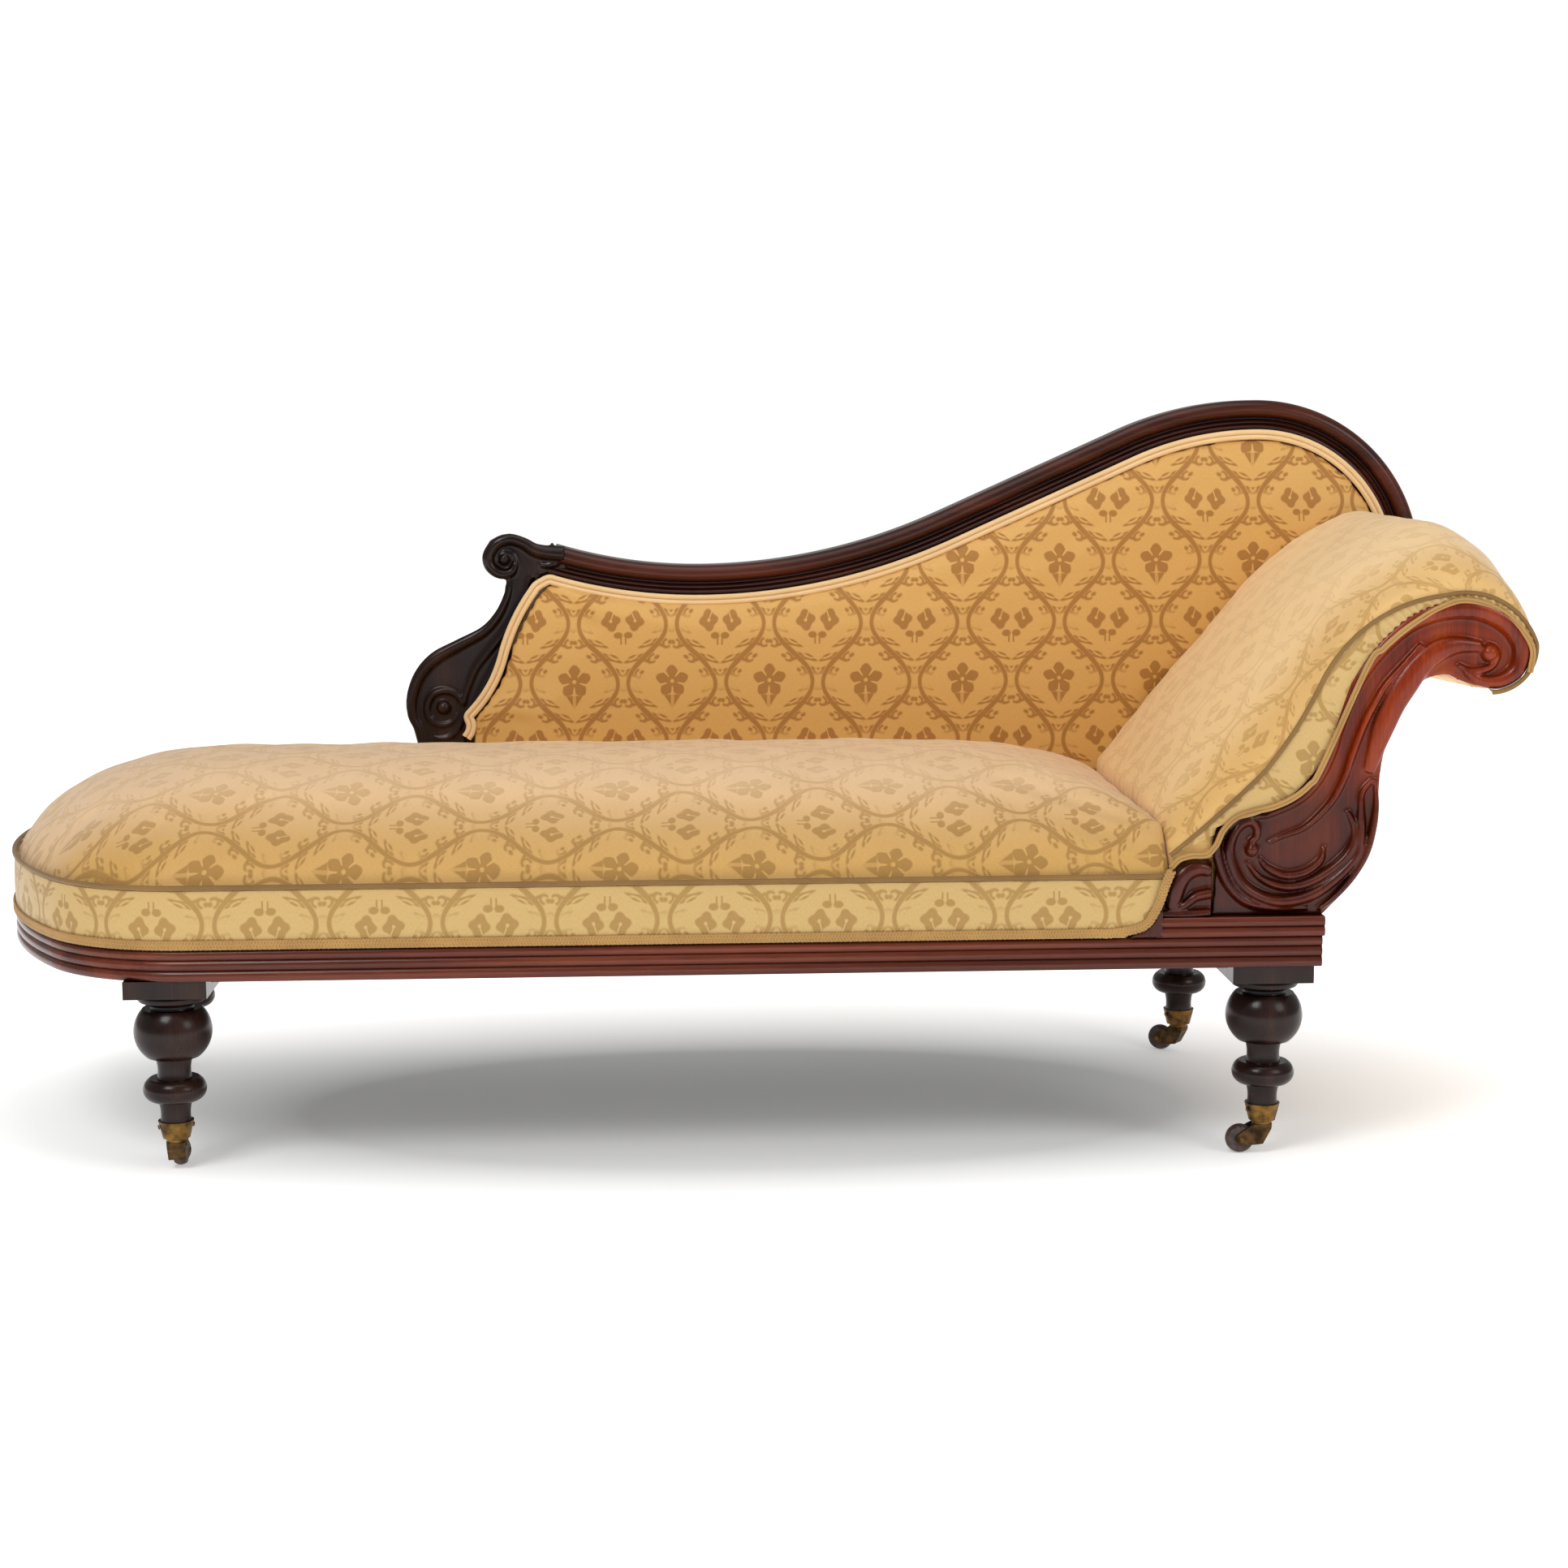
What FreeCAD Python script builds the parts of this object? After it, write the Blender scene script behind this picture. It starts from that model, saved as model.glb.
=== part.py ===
import FreeCAD, Part
import math
import os

import Sketcher
from FreeCAD import Placement, Rotation, Vector

# Fainting couch: mahogany show wood on a sprung, stuffed frame, four turned legs on brass casters.
# X runs along the couch with the head end at +X, the front faces -Y and Z is up from the floor.

SIZES = [
    ("overall_length", "1820", "foot end to the outermost point of the back"),
    ("frame_depth", "620", "front face to rear face of the rails"),
    ("frame_head_x", "655", "end of the frame under the scroll"),
    ("front_corner_radius", "200", "plan radius of the front foot corner"),
    ("front_corner_angle", "57", "degrees that the front corner turns"),
    ("bow_radius", "628", "plan radius of the bowed foot end"),
    ("rear_corner_radius", "90", "plan radius of the rear foot corner"),
    ("seat_head_x", "478", "seam between seat and head rest"),
    ("rail_base", "231.5", "floor to underside of the rails"),
    ("rail_height", "36", "moulded height of the rails"),
    ("rail_thickness", "36", "moulded face to inner face"),
    ("rebate_depth", "12", "step behind which the cloth is tacked"),
    ("tack_height", "32", "tacking strip above the moulding"),
    ("reed_depth", "4", "depth of the reeds on the rails"),
    ("leg_inset", "53", "rail face to leg axis"),
    ("front_left_leg_inset", "245", "foot end to the axis of the front leg there"),
    ("rear_left_leg_inset", "175", "foot end to the axis of the rear leg there"),
    ("right_leg_inset", "55", "head end of the frame to the axis of both legs there"),
    ("leg_block", "94", "square block on top of each leg"),
    ("leg_block_height", "20.5", "height of that block"),
    ("tenon_diameter", "26", "round tenon on top of each leg"),
    ("tenon_length", "45", "length of that tenon"),
    ("fit_gap", "0.05", "radial clearance of a wood or metal fit"),
    ("collar_diameter", "80", "collar under the block"),
    ("collar_height", "10", "thickness of the collar"),
    ("cove_diameter", "51", "cove between collar and ball"),
    ("ball_diameter", "84", "ball turning"),
    ("ball_height", "57", "height of the ball turning"),
    ("neck_diameter", "40", "neck between ball and ring"),
    ("neck_height", "25", "height of that neck"),
    ("ring_diameter", "67", "ring turning"),
    ("ring_height", "26", "height of the ring turning"),
    ("ankle_diameter", "35", "leg where it enters the cup"),
    ("cup_top", "60", "floor to rim of the caster cup"),
    ("cup_base", "35.4", "floor to underside of the cup"),
    ("cup_top_diameter", "41", "outside of the cup at its rim"),
    ("cup_base_diameter", "31", "outside of the cup at its base"),
    ("cup_wall", "2", "wall of the cup"),
    ("cup_floor", "5", "thickness of the cup floor"),
    ("spindle_diameter", "9", "spindle on which the caster turns"),
    ("spindle_head_diameter", "15", "riveted head of the spindle"),
    ("spindle_head_height", "3", "thickness of that head"),
    ("swivel_gap", "0.3", "gap between cup and fork"),
    ("wheel_diameter", "34", "caster wheel"),
    ("wheel_width", "14", "width of the caster wheel"),
    ("wheel_trail", "26", "swivel axis to wheel axle"),
    ("wheel_side_gap", "0.4", "gap at each side of the wheel"),
    ("axle_diameter", "6", "caster axle"),
    ("cheek_thickness", "3", "fork cheek at the wheel"),
    ("fork_plate_diameter", "24", "round plate under the cup"),
    ("fork_plate_height", "5", "thickness of that plate"),
    ("boxing_height", "72.5", "moulding to piping"),
    ("boxing_inset", "2", "cloth behind the face of the rail"),
    ("piping_radius", "4.5", "half thickness of the piping"),
    ("cloth_gap", "0.3", "gap between cloth pieces and their neighbours"),
    ("seat_crown", "120", "rise of the seat above its piping"),
    ("crown_reach", "250", "inset at which the seat is at its highest"),
    ("cover_thickness", "3", "cover with its lining"),
    ("gimp_width", "12", "width of the gimp"),
    ("gimp_thickness", "2", "thickness of the gimp"),
    ("stuffing_depth", "58", "stuffing over the spring canvas"),
    ("spring_rows", "3", "springs across the seat"),
    ("spring_columns", "6", "springs along the seat"),
    ("spring_pitch_x", "150", "spacing of the springs along the seat"),
    ("spring_pitch_y", "140", "spacing of the springs across the seat"),
    ("spring_end_radius", "34", "end coil of a spring"),
    ("spring_waist_radius", "20", "waist coil of a spring"),
    ("spring_wire", "4", "thickness of the spring wire"),
    ("spring_turns", "4", "turns of a spring"),
    ("webbing_width", "50", "width of the webbing"),
    ("webbing_thickness", "1.2", "thickness of the webbing"),
    ("dust_cover_thickness", "1", "thickness of the dust cover"),
    ("scroll_thickness", "30", "thickness of the front scroll"),
    ("scroll_proud", "2", "scroll in front of the rail face"),
    ("plinth_height", "23", "moulding under the scroll"),
    ("plinth_bead", "3", "depth of the beads on that moulding"),
    ("volute_x", "842", "centre of the head scroll's volute"),
    ("volute_z", "595", "height of that centre"),
    ("volute_radius", "45", "outer radius of the volute"),
    ("back_thickness", "42", "thickness of the back frame"),
    ("back_band", "40", "width of the back's show wood"),
    ("back_low_x", "-48", "lowest point of the serpentine top"),
    ("back_low_z", "666", "height of that point"),
    ("back_crest_x", "691", "highest point of the serpentine top"),
    ("back_crest_z", "879", "height of that point"),
    ("back_dip_left_radius", "640", "radius left of the low point"),
    ("back_dip_right_radius", "782", "radius right of the low point"),
    ("back_slope", "24", "steepest slope of the top in degrees"),
    ("back_shoulder_radius", "225", "radius from the crest to the end"),
    ("back_left_turn", "17", "degrees the top turns left of its low point"),
    ("back_fall", "78", "degrees the top turns from the crest to the end"),
    ("back_proud", "8", "show wood in front of the ledge for the cloth"),
    ("back_ledge", "12", "width of that ledge"),
    ("back_pad_depth", "30", "crown of the back in front of its frame"),
]


class Size:
    """A length that remembers how it follows from the sheet."""

    def __init__(self, value, text):
        self.value = value
        self.text = text

    def __float__(self):
        return float(self.value)

    def __neg__(self):
        return Size(-self.value, f"-({self.text})")

    def __add__(self, other):
        return Size(self.value + float(other), f"({self.text} + {words(other)})")

    def __sub__(self, other):
        return Size(self.value - float(other), f"({self.text} - {words(other)})")

    def __mul__(self, other):
        return Size(self.value * float(other), f"({self.text} * {words(other)})")

    def __truediv__(self, other):
        return Size(self.value / float(other), f"({self.text} / {words(other)})")

    __radd__ = __add__
    __rmul__ = __mul__


def words(value):
    """The expression text of a Size or a plain number."""
    return value.text if isinstance(value, Size) else repr(float(value))


doc = FreeCAD.newDocument("FaintingCouch")
sheet = doc.addObject("Spreadsheet::Sheet", "Sizes")
for line, (alias, amount, note) in enumerate(SIZES, start=1):
    sheet.set(f"A{line}", note)
    sheet.set(f"B{line}", amount)
    sheet.setAlias(f"B{line}", alias)
doc.recompute()


def size(alias):
    """A driving dimension as a Size."""
    return Size(float(sheet.get(alias)), f"Sizes.{alias}")


def mm(alias):
    """A driving dimension as a number."""
    return float(sheet.get(alias))


# Places that follow from the driving dimensions

FRONT = -mm("frame_depth") / 2
REAR = mm("frame_depth") / 2
FOOT = -mm("overall_length") / 2
RAIL_TOP = mm("rail_base") + mm("rail_height")
STRIP_TOP = RAIL_TOP + mm("tack_height")
PIPING_Z = RAIL_TOP + mm("boxing_height")
BACK_REAR = REAR - mm("rebate_depth")
BACK_FRONT = BACK_REAR - mm("back_thickness")
PAD_FRONT = BACK_FRONT - mm("back_pad_depth")
SEAT_TOP = PIPING_Z + mm("seat_crown")
CANVAS_Z = SEAT_TOP - mm("stuffing_depth")
SEAM = mm("cloth_gap") / 2
PLINTH_TOP = RAIL_TOP + mm("plinth_height")
NECK = mm("boxing_inset") + mm("cover_thickness") + mm("piping_radius") + mm("cloth_gap") + 0.2
BOARD_BACK = FRONT - mm("scroll_proud") + mm("scroll_thickness")
EAR_X = mm("seat_head_x") - 15
EAR_TOP = PLINTH_TOP + 66.5

parts = []


def new_body(label):
    """An empty body whose label names its file."""
    body = doc.addObject("PartDesign::Body", label)
    body.Label = label
    parts.append(body)
    return body


def new_solid(label, shape):
    """A piece whose shape is made by Part's own functions."""
    piece = doc.addObject("Part::Feature", label)
    piece.Label = label
    piece.Shape = shape
    parts.append(piece)
    return piece


def new_sketch(body, name, role, offset=None):
    """A sketch on one of the body's origin planes, moved along its normal by offset."""
    sketch = body.newObject("Sketcher::SketchObject", name)
    plane = next(item for item in body.Origin.OriginFeatures if item.Role == role)
    sketch.AttachmentSupport = [(plane, "")]
    sketch.MapMode = "FlatFace"
    if offset is not None:
        sketch.AttachmentOffset = Placement(Vector(0, 0, float(offset)), Rotation())
        if isinstance(offset, Size):
            sketch.setExpression("AttachmentOffset.Base.z", offset.text)
    return sketch


def bind(sketch, kind, places, value):
    """Adds a dimension and ties it to the sheet where its value comes from there."""
    index = sketch.addConstraint(Sketcher.Constraint(kind, *places, float(value)))
    if isinstance(value, Size):
        sketch.setExpression(f"Constraints[{index}]", value.text)


def draw(sketch, corners):
    """Draws a closed outline of lines and arcs.

    A corner is (x, y) or (x, y, rise): the stretch to the next corner bows to its left by rise.
    """
    first = sketch.GeometryCount
    count = len(corners)
    starts = []
    for at in range(count):
        here = Vector(float(corners[at][0]), float(corners[at][1]), 0)
        there = Vector(*(float(value) for value in corners[(at + 1) % count][:2]), 0)
        rise = corners[at][2] if len(corners[at]) > 2 else 0
        turned = float(rise) > 0
        if float(rise):
            across = there - here
            left = Vector(-across.y, across.x, 0).normalize()
            middle = (here + there) * 0.5 + left * float(rise)
            ends = (there, here) if turned else (here, there)
            sketch.addGeometry(Part.Arc(ends[0], middle, ends[1]), False)
        else:
            sketch.addGeometry(Part.LineSegment(here, there), False)
        starts.append(2 if turned else 1)
    for at in range(count):
        following = (at + 1) % count
        link = (first + at, 3 - starts[at], first + following, starts[following])
        sketch.addConstraint(Sketcher.Constraint("Coincident", *link))
    for at in range(count):
        bind(sketch, "DistanceX", (first + at, starts[at]), corners[at][0])
        bind(sketch, "DistanceY", (first + at, starts[at]), corners[at][1])
        rise = corners[at][2] if len(corners[at]) > 2 else 0
        if float(rise):
            ahead = corners[(at + 1) % count]
            run = ahead[0] - corners[at][0]
            climb = ahead[1] - corners[at][1]
            bow = rise if float(rise) > 0 else rise * -1
            bind(sketch, "Radius", (first + at,), (run * run + climb * climb) / (bow * 8) + bow / 2)


def draw_circle(sketch, x, y, radius):
    """Draws a circle whose centre and radius follow the sheet."""
    at = sketch.addGeometry(Part.Circle(Vector(float(x), float(y), 0), Vector(0, 0, 1), float(radius)))
    bind(sketch, "DistanceX", (at, 3), x)
    bind(sketch, "DistanceY", (at, 3), y)
    bind(sketch, "Radius", (at,), radius)


def draw_box(sketch, x0, y0, x1, y1):
    """Draws a rectangle between two corners."""
    draw(sketch, [(x0, y0), (x1, y0), (x1, y1), (x0, y1)])


def pad(body, name, sketch, length, reverse=False, middle=False):
    """Pads a sketch along its normal."""
    feature = body.newObject("PartDesign::Pad", name)
    feature.Profile = sketch
    feature.Length = float(length)
    if isinstance(length, Size):
        feature.setExpression("Length", length.text)
    feature.Reversed = reverse
    feature.SideType = "Symmetric" if middle else "One side"
    return feature


def cut(body, name, sketch, length, reverse=False, middle=False):
    """Pockets a sketch against its normal."""
    feature = body.newObject("PartDesign::Pocket", name)
    feature.Profile = sketch
    feature.Length = float(length)
    if isinstance(length, Size):
        feature.setExpression("Length", length.text)
    feature.Reversed = reverse
    feature.SideType = "Symmetric" if middle else "One side"
    return feature


def turn(body, name, sketch):
    """Revolves a sketch about its upright axis."""
    feature = body.newObject("PartDesign::Revolution", name)
    feature.Profile = sketch
    feature.ReferenceAxis = (sketch, ["V_Axis"])
    feature.Angle = 360
    return feature


def box(x0, x1, y0, y1, z0, z1):
    """A block between two corners."""
    return Part.makeBox(x1 - x0, y1 - y0, z1 - z0, Vector(x0, y0, z0))


def path_edges(corners, closed=False):
    """Edges through 3-D corners, each (point, rise vector) bowing by its vector at mid length."""
    edges = []
    count = len(corners) if closed else len(corners) - 1
    for at in range(count):
        here, bow = corners[at]
        there = corners[(at + 1) % len(corners)][0]
        if bow is None or bow.Length < 1e-9:
            edges.append(Part.makeLine(here, there))
        else:
            edges.append(Part.Arc(here, (here + there) * 0.5 + bow, there).toShape())
    return edges


def upright_outline(y, corners, closed=True):
    """A wire in the plane at y, through corners (x, z, rise) whose stretches bow to their left."""
    places = []
    for at, corner in enumerate(corners):
        ahead = corners[(at + 1) % len(corners)]
        run = Vector(ahead[0] - corner[0], 0, ahead[1] - corner[1])
        left = Vector(-run.z, 0, run.x).normalize()
        rise = corner[2] if len(corner) > 2 else 0
        places.append((Vector(corner[0], y, corner[1]), left * rise if rise else None))
    return Part.Wire(path_edges(places, closed))


def board(corners, y0, y1):
    """A board between two depths with the given upright outline."""
    return Part.Face(upright_outline(y0, corners)).extrude(Vector(0, y1 - y0, 0))


def tube(wire, radius):
    """A round tube along a smooth path."""
    start = wire.Edges[0].valueAt(wire.Edges[0].FirstParameter)
    along = wire.Edges[0].tangentAt(wire.Edges[0].FirstParameter)
    section = Part.Wire([Part.Circle(start, along, radius).toShape()])
    return wire.makePipeShell([section], True, True)


# Plan of the foot end


def plan_centres(inset, share=1.0, kept=None):
    """Centres and radii of the three arcs round the foot end.

    The arcs stay concentric with the rail's face over the first part of the inset, kept, and
    shrink by share beyond it.
    """
    kept = inset if kept is None else kept
    front, bow, rear = (
        (mm(name) - kept) * share for name in ("front_corner_radius", "bow_radius", "rear_corner_radius")
    )
    tilt = math.radians(90 - mm("front_corner_angle"))
    left = FOOT + inset
    near = FRONT + inset
    far = REAR - inset
    front_at = Vector(left + bow - (bow - front) * math.cos(tilt), near + front, 0)
    bow_at = Vector(left + bow, front_at.y + (bow - front) * math.sin(tilt), 0)
    rise = far - rear - bow_at.y
    rear_at = Vector(bow_at.x - math.sqrt((bow - rear) ** 2 - rise**2), far - rear, 0)
    return (front_at, front), (bow_at, bow), (rear_at, rear)


def plan_path(z, inset, head_x, rear_x=None, soft=(1.0, None)):
    """The path from the head end along the front, round the foot and back along the rear."""
    (front_at, front), (bow_at, bow), (rear_at, rear) = plan_centres(inset, *soft)
    lift = Vector(0, 0, z)
    tilt = math.radians(90 - mm("front_corner_angle"))

    def on(centre, radius, angle):
        return centre + Vector(math.cos(angle), math.sin(angle), 0) * radius + lift

    corner_angle = math.pi + tilt
    bow_end = math.pi - math.asin((rear_at.y - bow_at.y) / (bow - rear))
    start = Vector(head_x, FRONT + inset, z)
    front_from = on(front_at, front, 1.5 * math.pi)
    corner_mid = on(front_at, front, (1.5 * math.pi + corner_angle) / 2)
    front_to = on(front_at, front, corner_angle)
    bow_mid = on(bow_at, bow, (corner_angle + bow_end) / 2)
    bow_to = on(bow_at, bow, bow_end)
    rear_mid = on(rear_at, rear, (bow_end + math.pi / 2) / 2)
    rear_to = on(rear_at, rear, math.pi / 2)
    finish = Vector(head_x if rear_x is None else rear_x, REAR - inset, z)
    return [
        Part.makeLine(start, front_from),
        Part.Arc(front_from, corner_mid, front_to).toShape(),
        Part.Arc(front_to, bow_mid, bow_to).toShape(),
        Part.Arc(bow_to, rear_mid, rear_to).toShape(),
        Part.makeLine(rear_to, finish),
    ]


def plan_wire(z, inset, head_x, soft=(1.0, None)):
    """The closed plan outline at one height."""
    edges = plan_path(z, inset, head_x, soft=soft)
    first = edges[0].Vertexes[0].Point
    last = edges[-1].Vertexes[-1].Point
    return Part.Wire(edges + [Part.makeLine(last, first)])


def plan_prism(z0, z1, inset, head_x):
    """A straight block with the plan outline."""
    return Part.Face(plan_wire(z0, inset, head_x)).extrude(Vector(0, 0, z1 - z0))


# Rails


def rail_outline(out):
    """Section of a rail as (distance out, height) corners: reeded face, rebate and tacking strip."""
    base = size("rail_base")
    face = size("rail_thickness")
    reed = size("rail_height") / 3
    dip = size("reed_depth")
    top = base + size("rail_height")
    strip = top + size("tack_height")
    shoulder = face - size("rebate_depth")
    corners = [
        (Size(0.0, "0"), base),
        (face - dip, base, reed / -4),
        (face - dip, base + reed, reed / -4),
        (face - dip, base + reed * 2, reed / -4),
        (face - dip, top),
        (shoulder, top),
        (shoulder, strip),
        (Size(0.0, "0"), strip),
    ]
    return [((distance * out), *rest) for distance, *rest in corners] if out > 0 else corners


def make_straight_rail(label, along, inner, start, end, facing):
    """A straight rail with its inner face on a plane.

    along is the axis it runs along; facing is the direction of its moulded face, +1 or -1.
    """
    body = new_body(label)
    role = "YZ_Plane" if along == "X" else "XZ_Plane"
    sketch = new_sketch(body, label + "_section", role, start if along == "X" else -end)
    corners = []
    for corner in rail_outline(1):
        rise = [corner[2] * facing] if len(corner) > 2 else []
        corners.append((inner + corner[0] * facing, corner[1], *rise))
    draw(sketch, corners)
    pad(body, label + "_length", sketch, end - start)
    return body


def make_rails():
    """The four rails round the seat and the stay rail under the seam of the head rest."""
    depth = size("frame_depth")
    wall = size("rail_thickness")
    head = size("frame_head_x")
    rear_at = plan_centres(0)[2][0]
    front = make_straight_rail("front_rail", "X", depth / -2 + wall, foot_joint(), head, -1)
    step = new_sketch(front, "front_rail_step", "XZ_Plane", depth / 2 + 1)
    strip = size("rail_base") + size("rail_height")
    draw_box(step, size("seat_head_x") - 18, strip, head + 1, strip + size("tack_height") + 1)
    cut(front, "front_rail_step_cut", step, wall + 2, reverse=False)
    start = Size(rear_at.x, repr(rear_at.x))
    make_straight_rail("rear_rail", "X", depth / 2 - wall, start, head, 1)
    make_straight_rail("head_end_rail", "Y", head - wall, depth / -2 + wall, depth / 2 - wall, 1)
    stay = new_body("stay_rail")
    sketch = new_sketch(stay, "stay_rail_plan", "XY_Plane", size("rail_base"))
    draw_box(
        sketch,
        size("seat_head_x"),
        depth / -2 + wall,
        size("seat_head_x") + 24,
        depth / 2 - wall,
    )
    pad(stay, "stay_rail_height", sketch, size("rail_height") + size("tack_height"))


def foot_joint():
    """Where the straight front rail meets the bowed foot end rail, as a Size."""
    left = size("overall_length") / -2
    bow = size("bow_radius")
    corner = size("front_corner_radius")
    angle = float(size("front_corner_angle"))
    share = Size(math.sin(math.radians(angle)), "sin(Sizes.front_corner_angle * 1 deg)")
    return left + bow - (bow - corner) * share


def make_foot_rail():
    """The bowed foot end rail: the rail section carried round three arcs."""
    edges = plan_path(0, 0, 0)[1:4]
    spine = Part.Wire(edges)
    start = edges[0].Vertexes[0].Point
    places = []
    for corner in rail_outline(1):
        here = Vector(start.x, FRONT + mm("rail_thickness") - float(corner[0]), float(corner[1]))
        bow = Vector(0, float(corner[2]), 0) if len(corner) > 2 else None
        places.append((here, bow))
    section = Part.Wire(path_edges(places, closed=True))
    rail = spine.makePipeShell([section], True, True)
    return new_solid("foot_end_rail", rail)


def leg_places():
    """Name and axis of each leg."""
    foot = size("overall_length") / -2
    right = size("frame_head_x") - size("right_leg_inset")
    front = size("frame_depth") / -2 + size("leg_inset")
    rear = size("frame_depth") / 2 - size("leg_inset")
    return {
        "front_left": (foot + size("front_left_leg_inset"), front),
        "front_right": (right, front),
        "rear_left": (foot + size("rear_left_leg_inset"), rear),
        "rear_right": (right, rear),
    }


def make_corner_blocks():
    """Glued blocks inside the rails, bored for the leg tenons."""
    inside = plan_prism(0, STRIP_TOP + 10, mm("rail_thickness"), mm("frame_head_x") - mm("rail_thickness"))
    blocks = []
    for name, (x, y) in leg_places().items():
        half = mm("leg_block") / 2
        sign = -1 if name.startswith("front") else 1
        near = float(y) - sign * half
        far = sign * (mm("frame_depth") / 2 - mm("rail_thickness"))
        block = box(
            float(x) - half,
            float(x) + half,
            min(near, far),
            max(near, far),
            mm("rail_base"),
            mm("rail_base") + 60,
        )
        bore = Part.makeCylinder(
            mm("tenon_diameter") / 2 + mm("fit_gap"),
            mm("tenon_length") + 1,
            Vector(float(x), float(y), mm("rail_base")),
        )
        blocks.append(block.common(inside).cut(bore))
    return new_solid("corner_blocks", Part.makeCompound(blocks))


# Legs and casters


def place(body, x, y, angle=0):
    """Puts a body on a leg axis, turned about it."""
    body.Placement = Placement(Vector(float(x), float(y), 0), Rotation(Vector(0, 0, 1), angle))
    body.setExpression("Placement.Base.x", x.text)
    body.setExpression("Placement.Base.y", y.text)


def make_leg(name, x, y):
    """A turned leg: square block, collar, ball, neck, ring and tapered ankle, in one piece."""
    body = new_body("leg_" + name)
    base = size("rail_base") - size("leg_block_height")
    block = new_sketch(body, f"leg_{name}_block", "XY_Plane", base)
    half = size("leg_block") / 2
    draw_box(block, -half, -half, half, half)
    pad(body, f"leg_{name}_square", block, size("leg_block_height"))
    collar_base = base - size("collar_height")
    ball_top = collar_base - 8.5
    ball_base = ball_top - size("ball_height")
    ring_top = ball_base - size("neck_height")
    ring_base = ring_top - size("ring_height")
    spigot = size("cup_top_diameter") / 2 - size("cup_wall") - size("fit_gap")
    spigot_end = size("cup_base_diameter") / 2 - size("cup_wall") - size("fit_gap")
    foot = size("cup_base") + size("cup_floor") + size("spindle_head_height") + 1
    slope = (size("cup_top") - foot) / (size("cup_top") - size("cup_base"))
    spigot_foot = spigot - (spigot - spigot_end) * slope
    axis = Size(0.0, "0")
    section = new_sketch(body, f"leg_{name}_section", "XZ_Plane")
    draw(
        section,
        [
            (axis, foot),
            (spigot_foot, foot),
            (spigot, size("cup_top")),
            (size("ankle_diameter") / 2, size("cup_top"), Size(1.5, "1.5")),
            (size("neck_diameter") / 2, ring_base, Size(-0.8, "-0.8")),
            (size("ring_diameter") / 2 - 5, ring_base, size("ring_height") * -0.3),
            (size("ring_diameter") / 2 - 5, ring_top),
            (size("neck_diameter") / 2, ring_top, Size(2.0, "2")),
            (size("neck_diameter") / 2 + 2, ball_base, Size(-0.8, "-0.8")),
            (size("ball_diameter") / 2 - 12, ball_base, size("ball_height") * -0.22),
            (size("ball_diameter") / 2 - 8, ball_top),
            (size("cove_diameter") / 2, ball_top, Size(1.5, "1.5")),
            (size("cove_diameter") / 2 + 2, collar_base),
            (size("collar_diameter") / 2 - 3, collar_base, Size(-2.5, "-2.5")),
            (size("collar_diameter") / 2 - 3, base),
            (size("tenon_diameter") / 2, base),
            (size("tenon_diameter") / 2, size("rail_base") + size("tenon_length")),
            (axis, size("rail_base") + size("tenon_length")),
        ],
    )
    turn(body, f"leg_{name}_turning", section)
    place(body, x, y)
    return body


def make_cup(name, x, y):
    """The brass cup that takes the foot of the leg, bored for the spindle."""
    body = new_body("caster_cup_" + name)
    section = new_sketch(body, f"cup_{name}_section", "XZ_Plane")
    base = size("cup_base")
    wall = size("cup_wall")
    top = size("cup_top_diameter") / 2
    foot = size("cup_base_diameter") / 2
    floor = base + size("cup_floor")
    share = size("cup_floor") / (size("cup_top") - base)
    inner_floor = foot - wall + (top - foot) * share
    draw(
        section,
        [
            (size("spindle_diameter") / 2 + size("fit_gap"), base),
            (foot - 4, base),
            (foot - 4, base + 2.5),
            (foot, base + 4),
            (top, size("cup_top"), Size(0.0, "0")),
            (top - wall, size("cup_top")),
            (inner_floor, floor),
            (size("spindle_diameter") / 2 + size("fit_gap"), floor),
        ],
    )
    turn(body, f"cup_{name}_turning", section)
    place(body, x, y)
    return body


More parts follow.
